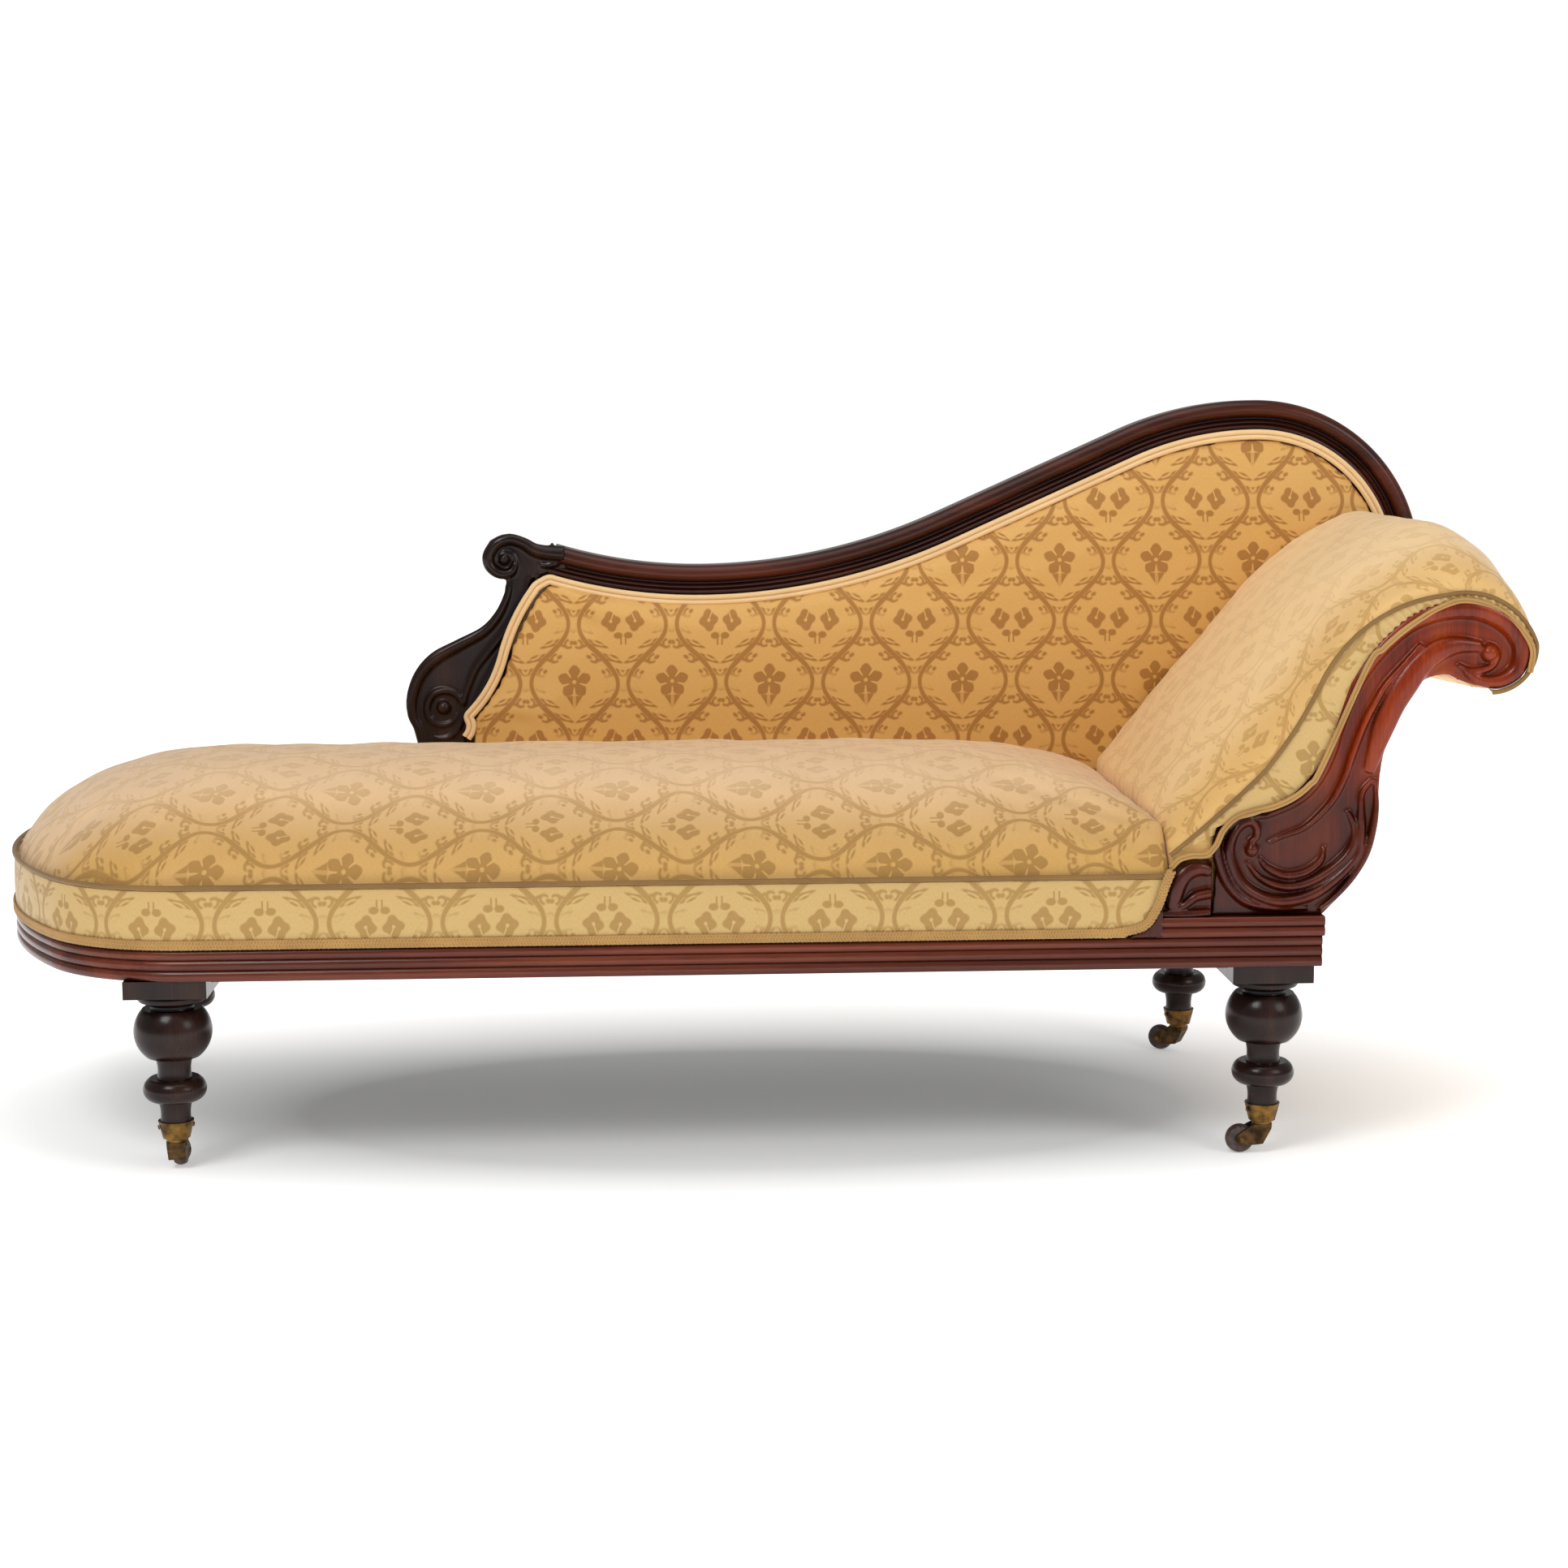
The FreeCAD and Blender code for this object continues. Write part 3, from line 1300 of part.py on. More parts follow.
def gimp_room(skin):
    """The step round the edge of the padding that takes the gimp, above the seat."""
    outline = pad_outline(PAD_FRONT - 20, 0)
    ring = grown(outline, 5).cut(Part.Face(outline.makeOffset2D(-mm("gimp_width") - skin)))
    depth = BACK_FRONT - PAD_FRONT + 20 - 6 + skin
    above = box(-2000, 2000, 0, 1000, SEAT_TOP - 25 - skin, 2000)
    return ring.extrude(Vector(0, depth, 0)).common(above)


def make_back_gimp():
    """The gimp along the show wood of the back, in its step."""
    gap = mm("cloth_gap")
    outline = pad_outline(BACK_FRONT - 6 - gap, 0)
    ring = Part.Face(outline).cut(Part.Face(outline.makeOffset2D(gap - mm("gimp_width"))))
    above = box(-2000, mm("volute_x") - 20, 0, 1000, SEAT_TOP - 24, 2000)
    strip = ring.extrude(Vector(0, -2 * mm("gimp_thickness"), 0)).common(above)
    new_solid("back_gimp", largest(strip))


def make_back_upholstery(plank):
    """Stuffing, cover, webbing and outside cloth of the back."""
    outer = pad_form(0)
    inner = pad_form(mm("cover_thickness"))
    room = grown(plank, mm("cloth_gap")).extrude(Vector(0, 200, 0))
    new_solid("back_cover", largest(outer.cut(inner).cut(room)))
    new_solid("back_stuffing", largest(inner.cut(room)))
    straps = []
    for at in range(7):
        x = foot_at(-35, 0)[0] + 120 * at
        wide = mm("webbing_width") / 2
        strap = box(x - wide, x + wide, BACK_FRONT - 1.3, BACK_FRONT - 0.1, STRIP_TOP + 10, 2000)
        face = Part.Face(pad_outline(BACK_FRONT - 2, 4)).extrude(Vector(0, 3, 0))
        straps.append(largest(strap.common(face)))
    new_solid("back_webbing", Part.makeCompound(straps))
    edge = back_top(8)
    corners = [
        (foot_at(-170, 0)[0], RAIL_TOP, 0),
        foot_at(-170, 0, -8),
        foot_at(-189, 0.432, 12),
        foot_at(-161, 0.612, -12),
        foot_at(-69, 0.767, -4),
        foot_at(-55, 0.888),
        *edge,
        *reversed_path(head_edge(STRIP_TOP))[1:],
        (mm("frame_head_x") - 2, RAIL_TOP, 0),
    ]
    new_solid("outside_back_cover", board(corners, BACK_REAR, BACK_REAR + 1.5))


def check_and_write():
    """Checks every object and writes one file for each piece."""
    doc.recompute()
    for item in doc.Objects:
        if "Invalid" in item.State or "Error" in item.State:
            raise RuntimeError(f"{item.Name} is {item.State}")
    os.makedirs("parts", exist_ok=True)
    for piece in parts:
        if piece.Shape.isNull() or not piece.Shape.isValid():
            raise RuntimeError(f"{piece.Label} has no valid shape")
        piece.Shape.exportStep(f"parts/{piece.Label}.step")
    print(len(parts), "pieces written")


make_rails()
make_foot_rail()
make_corner_blocks()
for name, (x, y) in leg_places().items():
    make_leg(name, x, y)
    make_cup(name, x, y)
    make_fork(name, x, y, CASTER_ANGLES[name])
    make_wheel(name, x, y, CASTER_ANGLES[name])
    make_axle(name, x, y, CASTER_ANGLES[name])
make_cup_screws()
make_plinth()
make_ear()
make_head_scroll()
head_rail, lower_rail, head_plank = make_head_frame()
make_head_upholstery(head_rail, lower_rail)
back_support = make_back_frame()
make_back_structure(back_support)
make_seat_upholstery()
make_springing()
make_back_upholstery(head_plank)
make_back_gimp()
check_and_write()
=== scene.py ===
import bmesh
import bpy
import logging
import math
from collections.abc import Callable, Iterable, Sequence
from dataclasses import dataclass, field
from enum import Enum

import numpy as np
from mathutils import Matrix, Vector


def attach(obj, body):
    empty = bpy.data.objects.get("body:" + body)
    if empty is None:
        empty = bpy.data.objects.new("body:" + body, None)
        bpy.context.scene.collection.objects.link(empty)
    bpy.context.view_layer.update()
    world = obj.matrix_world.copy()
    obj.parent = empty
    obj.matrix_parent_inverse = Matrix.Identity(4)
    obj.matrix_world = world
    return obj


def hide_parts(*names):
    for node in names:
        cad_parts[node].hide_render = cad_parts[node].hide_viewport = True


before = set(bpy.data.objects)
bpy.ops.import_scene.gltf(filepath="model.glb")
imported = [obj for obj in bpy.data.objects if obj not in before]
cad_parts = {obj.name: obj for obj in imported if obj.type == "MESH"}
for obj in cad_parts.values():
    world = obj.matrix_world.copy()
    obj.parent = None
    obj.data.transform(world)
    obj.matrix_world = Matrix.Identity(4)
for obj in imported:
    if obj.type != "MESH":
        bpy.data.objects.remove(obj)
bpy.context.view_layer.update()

LOG = logging.getLogger("fainting_couch")
MM = 0.001
COUCH = "couch"

Corner = tuple[float, ...]
Line = list[tuple[float, float]]


# Small tools: colour, nodes, fields


def linear(code: str) -> tuple[float, float, float, float]:
    """Turns an sRGB hex colour into linear light.

    Args:
        code: six hex digits, with or without a leading hash.

    Returns:
        Red, green, blue and an alpha of 1.
    """
    digits = code.lstrip("#")
    values = [int(digits[at : at + 2], 16) / 255 for at in (0, 2, 4)]
    lit = [v / 12.92 if v <= 0.04045 else ((v + 0.055) / 1.055) ** 2.4 for v in values]
    return lit[0], lit[1], lit[2], 1.0


def add(
    tree: bpy.types.NodeTree, kind: str, inputs: dict | Sequence = (), **settings: object
) -> bpy.types.Node:
    """Adds a node to a tree, with its settings, values and links.

    Args:
        tree: the node tree.
        kind: the node's type name.
        inputs: values, nodes or sockets by input name or in input order.
        settings: attributes of the node.

    Returns:
        The new node.
    """
    node = tree.nodes.new(kind)
    for name, value in settings.items():
        setattr(node, name, value)
    pairs = inputs.items() if isinstance(inputs, dict) else enumerate(inputs)
    for key, value in pairs:
        if value is None:
            continue
        if isinstance(value, Field):
            value = value.socket
        if isinstance(value, bpy.types.Node):
            value = value.outputs[0]
        if isinstance(value, bpy.types.NodeSocket):
            tree.links.new(value, node.inputs[key])
        else:
            node.inputs[key].default_value = value
    return node


class Field:
    """A number that varies over a surface, written as a formula and built from Math nodes."""

    def __init__(self, tree: bpy.types.NodeTree, socket: bpy.types.NodeSocket) -> None:
        """Keeps the tree and the socket that carries the number."""
        self.tree = tree
        self.socket = socket

    def make(self, operation: str, *others: object, swap: bool = False) -> "Field":
        """Adds one Math node.

        Args:
            operation: the node's operation.
            others: the other inputs.
            swap: puts this field second.

        Returns:
            The result as a field.
        """
        values = [*others, self] if swap else [self, *others]
        node = add(self.tree, "ShaderNodeMath", values, operation=operation)
        return Field(self.tree, node.outputs[0])

    def __add__(self, other: object) -> "Field":
        """Sum."""
        return self.make("ADD", other)

    def __sub__(self, other: object) -> "Field":
        """Difference."""
        return self.make("SUBTRACT", other)

    def __rsub__(self, other: object) -> "Field":
        """Difference from a number."""
        return self.make("SUBTRACT", other, swap=True)

    def __mul__(self, other: object) -> "Field":
        """Product."""
        return self.make("MULTIPLY", other)

    def __truediv__(self, other: object) -> "Field":
        """Quotient."""
        return self.make("DIVIDE", other)

    __radd__ = __add__
    __rmul__ = __mul__

    def below(self, limit: object, soft: float) -> "Field":
        """One where the field is under limit, zero where over, with a soft edge."""
        return ((limit - self) / soft + 0.5).make("MINIMUM", 1.0).make("MAXIMUM", 0.0)

    def wrapped(self, period: float) -> "Field":
        """The field folded into one period, centred on zero."""
        return (self + period / 2).make("FLOORED_MODULO", period) - period / 2

    def size(self) -> "Field":
        """Absolute value."""
        return self.make("ABSOLUTE")

    def union(self, other: "Field") -> "Field":
        """The larger of two fields."""
        return self.make("MAXIMUM", other)

    def hypot(self, other: "Field") -> "Field":
        """Length of the two as the sides of a right angle."""
        return (self * self + other * other).make("SQRT")


def principled(name: str) -> tuple[bpy.types.Material, bpy.types.NodeTree, bpy.types.Node]:
    """A new material with its node tree and shader."""
    material = bpy.data.materials.new(name)
    material.use_nodes = True
    tree = material.node_tree
    return material, tree, tree.nodes["Principled BSDF"]


# Finishes


class Grain(Enum):
    """The way that the grain runs in a piece of wood."""

    ALONG_X = (0.05, 1.0, 1.0)
    ALONG_Y = (1.0, 0.05, 1.0)
    ALONG_Z = (1.0, 1.0, 0.05)


@dataclass(frozen=True)
class FrenchPolishedMahogany:
    """Mahogany under many thin coats of shellac: deep and glossy, darker in the pores, with painted shade
    in its recesses and, where set, darker towards the bottom.
    """

    name: str = "french_polished_mahogany"
    grain: Grain = Grain.ALONG_X
    dark: str = "#3c130c"
    middle: str = "#6e2814"
    light: str = "#8f3f1f"
    gloss: float = 0.34
    # Below this height, in mm, the colour turns darker towards the bottom; zero leaves it even.
    darker_below_mm: float = 0.0
    pore_pitch_mm: float = 2.2
    figure_pitch_mm: float = 45.0

    def make(self) -> bpy.types.Material:
        """Builds the material."""
        material, tree, shader = principled(self.name)
        place = add(tree, "ShaderNodeTexCoord").outputs["Object"]
        along = add(tree, "ShaderNodeMapping", {"Vector": place, "Scale": self.grain.value})
        figure = add(
            tree,
            "ShaderNodeTexNoise",
            {"Vector": along, "Scale": 1000 / self.figure_pitch_mm, "Detail": 5.0, "Distortion": 0.6},
        )
        pores = add(
            tree,
            "ShaderNodeTexNoise",
            {"Vector": along, "Scale": 1000 / self.pore_pitch_mm, "Detail": 2.0, "Roughness": 0.7},
        )
        mixed = Field(tree, figure.outputs["Fac"]) * 0.75 + Field(tree, pores.outputs["Fac"]) * 0.25
        ramp = add(tree, "ShaderNodeValToRGB", [mixed])
        stops = ramp.color_ramp.elements
        stops[0].position, stops[0].color = 0.32, linear(self.dark)
        stops[1].position, stops[1].color = 0.68, linear(self.light)
        stops.new(0.5).color = linear(self.middle)
        # Painted shade: ambient occlusion darkens the colour in recesses and where parts meet.
        painted_hollow_shade = add(tree, "ShaderNodeAmbientOcclusion", {"Distance": 0.014}, samples=8)
        height = Field(tree, add(tree, "ShaderNodeSeparateXYZ", [place]).outputs["Z"])
        # Darker towards the bottom: below the given height the colour is darkened by up to two thirds, over
        # a 50 mm blend.
        soil = height.below(self.darker_below_mm * MM, 0.05) * 0.66
        shade = (Field(tree, painted_hollow_shade.outputs["AO"]).make("POWER", 2.2) * 0.8 + 0.2) * (1 - soil)
        # This mix paints shade: it multiplies the grain colour by the painted hollow shade and by the
        # darkening towards the bottom.
        worn = add(
            tree,
            "ShaderNodeMix",
            {"Factor": 1.0, 6: ramp.outputs["Color"], 7: shade},
            data_type="RGBA",
            blend_type="MULTIPLY",
        )
        tree.links.new(worn.outputs[2], shader.inputs["Base Color"])
        rough = Field(tree, figure.outputs["Fac"]) * 0.14 + 0.17
        tree.links.new(rough.socket, shader.inputs["Roughness"])
        shader.inputs["Specular IOR Level"].default_value = self.gloss
        bump = add(
            tree,
            "ShaderNodeBump",
            {"Strength": 0.12, "Distance": 0.0004, "Height": pores.outputs["Fac"]},
        )
        tree.links.new(bump.outputs["Normal"], shader.inputs["Normal"])
        return material


@dataclass(frozen=True)
class BareTimber:
    """Unpolished beech or pine of the hidden frame: pale, dry and matt."""

    name: str = "bare_beech"
    grain: Grain = Grain.ALONG_X
    dark: str = "#8a6a44"
    light: str = "#b8966a"

    def make(self) -> bpy.types.Material:
        """Builds the material."""
        material, tree, shader = principled(self.name)
        place = add(tree, "ShaderNodeTexCoord").outputs["Object"]
        along = add(tree, "ShaderNodeMapping", {"Vector": place, "Scale": self.grain.value})
        noise = add(tree, "ShaderNodeTexNoise", {"Vector": along, "Scale": 120.0, "Detail": 4.0})
        ramp = add(tree, "ShaderNodeValToRGB", [noise])
        ramp.color_ramp.elements[0].color = linear(self.dark)
        ramp.color_ramp.elements[1].color = linear(self.light)
        tree.links.new(ramp.outputs["Color"], shader.inputs["Base Color"])
        shader.inputs["Roughness"].default_value = 0.75
        return material


@dataclass(frozen=True)
class Damask:
    """Cotton and silk damask: satin ground, figure woven in a darker thread, worn pale on top.

    The figure is a trellis of leafy scrolling vines round a flower, and round a pair of buds in
    the half-dropped rows. Sizes are in millimetres on the cloth.
    """

    name: str
    ground: str
    figure: str
    pale: str
    wear: float = 0.0
    contrast: float = 1.0
    repeat: float = 128.0
    drop: float = 156.0
    pair: float = 14.0
    vine: float = 2.6
    leaf_pitch: float = 19.5
    soft: float = 1.8

    def make(self) -> bpy.types.Material:
        """Builds the material."""
        material, tree, shader = principled(self.name)
        cloth = add(tree, "ShaderNodeUVMap", uv_map="cloth")
        split = add(tree, "ShaderNodeSeparateXYZ", [cloth])
        wobble = add(tree, "ShaderNodeTexNoise", {"Vector": cloth, "Scale": 14.0, "Detail": 1.0})
        shift = (Field(tree, wobble.outputs["Fac"]) - 0.5) * 5
        across = Field(tree, split.outputs["X"]) * 1000 + shift
        up = Field(tree, split.outputs["Y"]) * 1000 + shift
        figure = self.trellis(across, up)
        wear = self.worn(tree, cloth)
        share = figure * (1 - wear * 0.75) * self.contrast
        plain = add(
            tree,
            "ShaderNodeMix",
            {"Factor": wear, 6: linear(self.ground), 7: linear(self.pale)},
            data_type="RGBA",
        )
        coloured = add(
            tree,
            "ShaderNodeMix",
            {"Factor": share, 6: plain.outputs[2], 7: linear(self.figure)},
            data_type="RGBA",
        )
        threads = self.threads(tree, cloth)
        tinted = add(
            tree,
            "ShaderNodeMix",
            {"Factor": 0.16, 6: coloured.outputs[2], 7: threads},
            data_type="RGBA",
            blend_type="OVERLAY",
        )
        tree.links.new(tinted.outputs[2], shader.inputs["Base Color"])
        tree.links.new((figure * 0.14 + 0.56).socket, shader.inputs["Roughness"])
        shader.inputs["Sheen Weight"].default_value = 0.25
        shader.inputs["Sheen Roughness"].default_value = 0.4
        raised = figure * 0.5 + Field(tree, threads.outputs[0]) * 0.3
        bump = add(tree, "ShaderNodeBump", {"Strength": 0.35, "Distance": 0.0006, "Height": raised})
        tree.links.new(bump.outputs["Normal"], shader.inputs["Normal"])
        return material

    def worn(self, tree: bpy.types.NodeTree, cloth: bpy.types.Node) -> Field:
        """Where the cloth has faded, from 0 to 1."""
        patches = add(tree, "ShaderNodeTexNoise", {"Vector": cloth, "Scale": 7.0, "Detail": 4.0})
        high = add(tree, "ShaderNodeAttribute", attribute_name="wear")
        rubbed = Field(tree, high.outputs["Fac"]) * self.wear
        spread = (Field(tree, patches.outputs["Fac"]) - 0.5) * 0.9
        return (rubbed + spread * rubbed.make("MINIMUM", 0.6)).make("MINIMUM", 1.0).make("MAXIMUM", 0.0)

    def threads(self, tree: bpy.types.NodeTree, cloth: bpy.types.Node) -> bpy.types.Node:
        """Fine ribs of the weave, drawn coarser than their real 0.4 mm so that they show."""
        fine = add(tree, "ShaderNodeMapping", {"Vector": cloth, "Scale": (900.0, 260.0, 1.0)})
        return add(tree, "ShaderNodeTexNoise", {"Vector": fine, "Scale": 1.0, "Detail": 2.0})

    def trellis(self, across: Field, up: Field) -> Field:
        """The woven figure, 1 on the dark thread and 0 on the ground."""
        half, quarter = self.drop / 2, self.repeat / 4
        swing = quarter - self.pair / 2
        x = across.wrapped(self.repeat).size()
        y = up.wrapped(self.drop)
        turn = y * (math.pi / half)
        edge = turn.make("COSINE") * swing + quarter
        sine = turn.make("SINE")
        slope = sine * (swing * math.pi / half)
        side = (x - edge).size() / (slope * slope + 1).make("SQRT")
        steep = sine * sine
        figure = side.below(steep * 0.9 + self.vine, self.soft)
        figure = figure.union(self.curls(side, y) * (steep * 3).make("MINIMUM", 1.0))
        figure = figure.union(self.flower(x, y))
        bud_x = (self.repeat / 2 - x).size()
        bud_y = (up - half).wrapped(self.drop)
        return figure.union(self.buds(bud_x, bud_y))

    def curls(self, side: Field, y: Field) -> Field:
        """Curled leaf tips on both sides of a vine.

        Args:
            side: distance from the vine's middle.
            y: height in the repeat.

        Returns:
            The tips, 1 on the dark thread.
        """
        slant = (y + side * 0.55).wrapped(self.leaf_pitch)
        reach = side - 9.5
        ring = slant.hypot(reach)
        hook = (ring - 4.6).size().below(1.5, self.soft) * (slant + reach * 0.6).below(2.0, 2.0)
        tip = (slant - 2.8).hypot(reach - 2.2).below(2.5, self.soft)
        stalk = (slant + 4.2 - reach * 0.2).size().below(1.7, self.soft) * reach.below(0.0, 2.0)
        return hook.union(tip).union(stalk)

    def flower(self, x: Field, y: Field) -> Field:
        """A broad five-petalled flower over a wedge of leaves."""
        lift = y - 3.0
        radius = x.hypot(lift)
        angle = lift.make("ARCTAN2", x)
        lobes = ((angle - math.pi / 2) * 5).make("COSINE")
        head = radius.below(lobes * 3.2 + 18.5, self.soft) * (2.6 - radius).below(0.0, 1.0)
        gaps = (lobes + 0.86).below(0.0, 0.12) * (7.0 - radius).below(0.0, 2.0)
        tall = (y + 15).below(0.0, 2.0) * (-34 - y).below(0.0, 1.0)
        wedge = (x - (y + 33) * 0.62).below(0.0, self.soft) * tall
        vein = (x - 2.2).below(0.0, 1.2)
        return (head * (1 - gaps)).union(wedge * (1 - vein * 0.7))

    def buds(self, x: Field, y: Field) -> Field:
        """Two round blossoms side by side over small leaves."""
        radius = (x - 15.5).hypot((y - 4) * 0.9)
        angle = (y - 4).make("ARCTAN2", x - 15.5)
        petals = (angle * 4 + 0.6).make("COSINE") * 1.6 + 11.0
        head = radius.below(petals, self.soft) * (2.0 - radius).below(0.0, 1.0)
        cleft = (x - 15.5 + (y - 4) * 0.35).size().below(0.8, 0.8) * (4 - y).below(0.0, 1.5)
        leaf = (x - 6.5).hypot((y + 15) * 1.3).below(5.6, self.soft)
        stem = (x - 3).size().below(1.0, 1.0) * (y + 22).size().below(5.0, 1.0)
        return (head * (1 - cleft)).union(leaf).union(stem)


@dataclass(frozen=True)
class PlainCloth:
    """Plain woven cloth with a visible thread, for piping, welts, linings and webbing."""

    name: str
    colour: str
    dark: str
    thread_mm: float = 1.1
    roughness: float = 0.72
    relief_mm: float = 0.25

    def make(self) -> bpy.types.Material:
        """Builds the material."""
        material, tree, shader = principled(self.name)
        place = add(tree, "ShaderNodeTexCoord").outputs["Object"]
        scale = 1000 / self.thread_mm / (2 * math.pi)
        warp = add(
            tree,
            "ShaderNodeTexWave",
            {"Vector": place, "Scale": scale, "Distortion": 0.6, "Detail": 1.0},
            bands_direction="X",
        )
        weft = add(
            tree,
            "ShaderNodeTexWave",
            {"Vector": place, "Scale": scale, "Distortion": 0.6, "Detail": 1.0},
            bands_direction="Z",
        )
        soil = add(tree, "ShaderNodeTexNoise", {"Vector": place, "Scale": 18.0, "Detail": 5.0})
        weave = Field(tree, warp.outputs["Fac"]) * Field(tree, weft.outputs["Fac"])
        share = weave * 0.5 + (Field(tree, soil.outputs["Fac"]) - 0.3) * 0.8
        ramp = add(tree, "ShaderNodeValToRGB", [share])
        ramp.color_ramp.elements[0].color = linear(self.dark)
        ramp.color_ramp.elements[1].color = linear(self.colour)
        tree.links.new(ramp.outputs["Color"], shader.inputs["Base Color"])
        shader.inputs["Roughness"].default_value = self.roughness
        shader.inputs["Sheen Weight"].default_value = 0.2
        bump = add(
            tree,
            "ShaderNodeBump",
            {"Strength": 0.4, "Distance": self.relief_mm * MM, "Height": weave},
        )
        tree.links.new(bump.outputs["Normal"], shader.inputs["Normal"])
        return material


@dataclass(frozen=True)
class AgedMetal:
    """Cast or drawn metal dulled by age: darker tarnish in patches, rubbed brighter between."""

    name: str
    bright: str
    tarnish: str
    roughness: float = 0.36

    def make(self) -> bpy.types.Material:
        """Builds the material."""
        material, tree, shader = principled(self.name)
        place = add(tree, "ShaderNodeTexCoord").outputs["Object"]
        patches = add(tree, "ShaderNodeTexNoise", {"Vector": place, "Scale": 90.0, "Detail": 6.0})
        ramp = add(tree, "ShaderNodeValToRGB", [patches])
        ramp.color_ramp.elements[0].position = 0.35
        ramp.color_ramp.elements[0].color = linear(self.tarnish)
        ramp.color_ramp.elements[1].position = 0.65
        ramp.color_ramp.elements[1].color = linear(self.bright)
        tree.links.new(ramp.outputs["Color"], shader.inputs["Base Color"])
        rough = (1 - Field(tree, patches.outputs["Fac"])) * 0.35 + (self.roughness - 0.1)
        tree.links.new(rough.socket, shader.inputs["Roughness"])
        shader.inputs["Metallic"].default_value = 1.0
        bump = add(
            tree,
            "ShaderNodeBump",
            {"Strength": 0.2, "Distance": 0.0003, "Height": patches.outputs["Fac"]},
        )
        tree.links.new(bump.outputs["Normal"], shader.inputs["Normal"])
        return material


@dataclass(frozen=True)
class TurnedHardwood:
    """Dark close-grained wood of the caster wheels, scuffed where it rolls."""

    name: str = "scuffed_wheel_wood"
    colour: str = "#3a2a24"
    scuff: str = "#5d4a40"

    def make(self) -> bpy.types.Material:
        """Builds the material."""
        material, tree, shader = principled(self.name)
        place = add(tree, "ShaderNodeTexCoord").outputs["Object"]
        scuffs = add(tree, "ShaderNodeTexNoise", {"Vector": place, "Scale": 160.0, "Detail": 6.0})
        ramp = add(tree, "ShaderNodeValToRGB", [scuffs])
        ramp.color_ramp.elements[0].position = 0.45
        ramp.color_ramp.elements[0].color = linear(self.colour)
        ramp.color_ramp.elements[1].position = 0.7
        ramp.color_ramp.elements[1].color = linear(self.scuff)
        tree.links.new(ramp.outputs["Color"], shader.inputs["Base Color"])
        shader.inputs["Roughness"].default_value = 0.5
        return material


# Lines


def bowed(corners: Sequence[Corner], closed: bool = False, step: float = 5.0) -> Line:
    """Samples a line of straight and arched stretches.

    Args:
        corners: (x, z) or (x, z, rise); a stretch bows to the left of travel by its rise.
        closed: joins the last corner to the first.
        step: greatest distance between samples, in millimetres.

    Returns:
        The sampled points, in millimetres.
    """
    points: Line = []
    count = len(corners) if closed else len(corners) - 1
    for at in range(count):
        here = Vector(corners[at][:2])
        there = Vector(corners[(at + 1) % len(corners)][:2])
        rise = corners[at][2] if len(corners[at]) > 2 else 0.0
        run = there - here
        left = Vector((-run.y, run.x)).normalized()
        pieces = max(1, math.ceil(run.length / step))
        for piece in range(pieces):
            share = piece / pieces
            if abs(rise) < 1e-6:
                point = here + run * share
            else:
                radius = run.length_squared / (8 * abs(rise)) + abs(rise) / 2
                half = math.asin(min(1.0, run.length / 2 / radius))
                angle = half * (2 * share - 1)
                sign = 1 if rise > 0 else -1
                depth = radius * (math.cos(angle) - math.cos(half))
                point = here + run * 0.5 + run.normalized() * radius * math.sin(angle) + left * depth * sign
            points.append((point.x, point.y))
    if not closed:
        points.append((corners[-1][0], corners[-1][1]))
    return points


def run_lengths(line: np.ndarray) -> np.ndarray:
    """How far along a line each of its points lies."""
    return np.concatenate([[0.0], np.cumsum(np.linalg.norm(np.diff(line, axis=0), axis=1))])


def evenly(points: Sequence[Sequence[float]], count: int, closed: bool = False) -> np.ndarray:
    """Spaces a line's points evenly.

    Args:
        points: points of any dimension.
        count: how many points to return.
        closed: whether the line returns to its start.

    Returns:
        The new points, one to a row.
    """
    line = np.array(points, float)
    if closed:
        line = np.vstack([line, line[:1]])
    reach = run_lengths(line)
    wanted = np.linspace(0, reach[-1], count + 1 if closed else count)
    spaced = np.column_stack([np.interp(wanted, reach, line[:, axis]) for axis in range(line.shape[1])])
    return spaced[:-1] if closed else spaced


def through(points: Sequence[Sequence[float]], pieces: int) -> np.ndarray:
    """A smooth line through a few points, with so many samples between each two."""
    given = np.array(points, float)
    padded = np.vstack([2 * given[0] - given[1], given, 2 * given[-1] - given[-2]])
    dense = []
    for at in range(1, len(padded) - 2):
        a, b, c, d = padded[at - 1 : at + 3]
        for share in np.linspace(0, 1, pieces, endpoint=False):
            bend = (2 * a - 5 * b + 4 * c - d) * share**2 + (3 * b - a - 3 * c + d) * share**3
            dense.append(0.5 * (2 * b + (c - a) * share + bend))
    dense.append(given[-1])
    return np.array(dense)


def smooth_line(points: Sequence[Sequence[float]], count: int) -> np.ndarray:
    """A smooth line of points evenly spaced in its first two columns, with any further columns."""
    line = through(points, 12)
    reach = run_lengths(line[:, :2])
    wanted = np.linspace(0, reach[-1], count)
    return np.column_stack([np.interp(wanted, reach, line[:, axis]) for axis in range(line.shape[1])])


# Meshes


def finish_piece(
    mesh: bpy.types.Mesh, name: str, material: bpy.types.Material, body: str = COUCH
) -> bpy.types.Object:
    """Links a mesh as a finished piece that rides on a body.

    Args:
        mesh: the mesh, in metres and in place.
        name: the piece's name.
        material: its finish.
        body: the body that it rides on.

    Returns:
        The new object.
    """
    piece = bpy.data.objects.new(name, mesh)
    bpy.context.scene.collection.objects.link(piece)
    mesh.materials.clear()
    mesh.materials.append(material)
    for polygon in mesh.polygons:
        polygon.use_smooth = True
    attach(piece, body)
    LOG.info("%s: %d faces on %s", name, len(mesh.polygons), body)
    return piece


def to_mesh(shape: bmesh.types.BMesh, name: str) -> bpy.types.Mesh:
    """Writes a bmesh to a new mesh and frees it."""
    mesh = bpy.data.meshes.new(name)
    shape.to_mesh(mesh)
    shape.free()
    return mesh


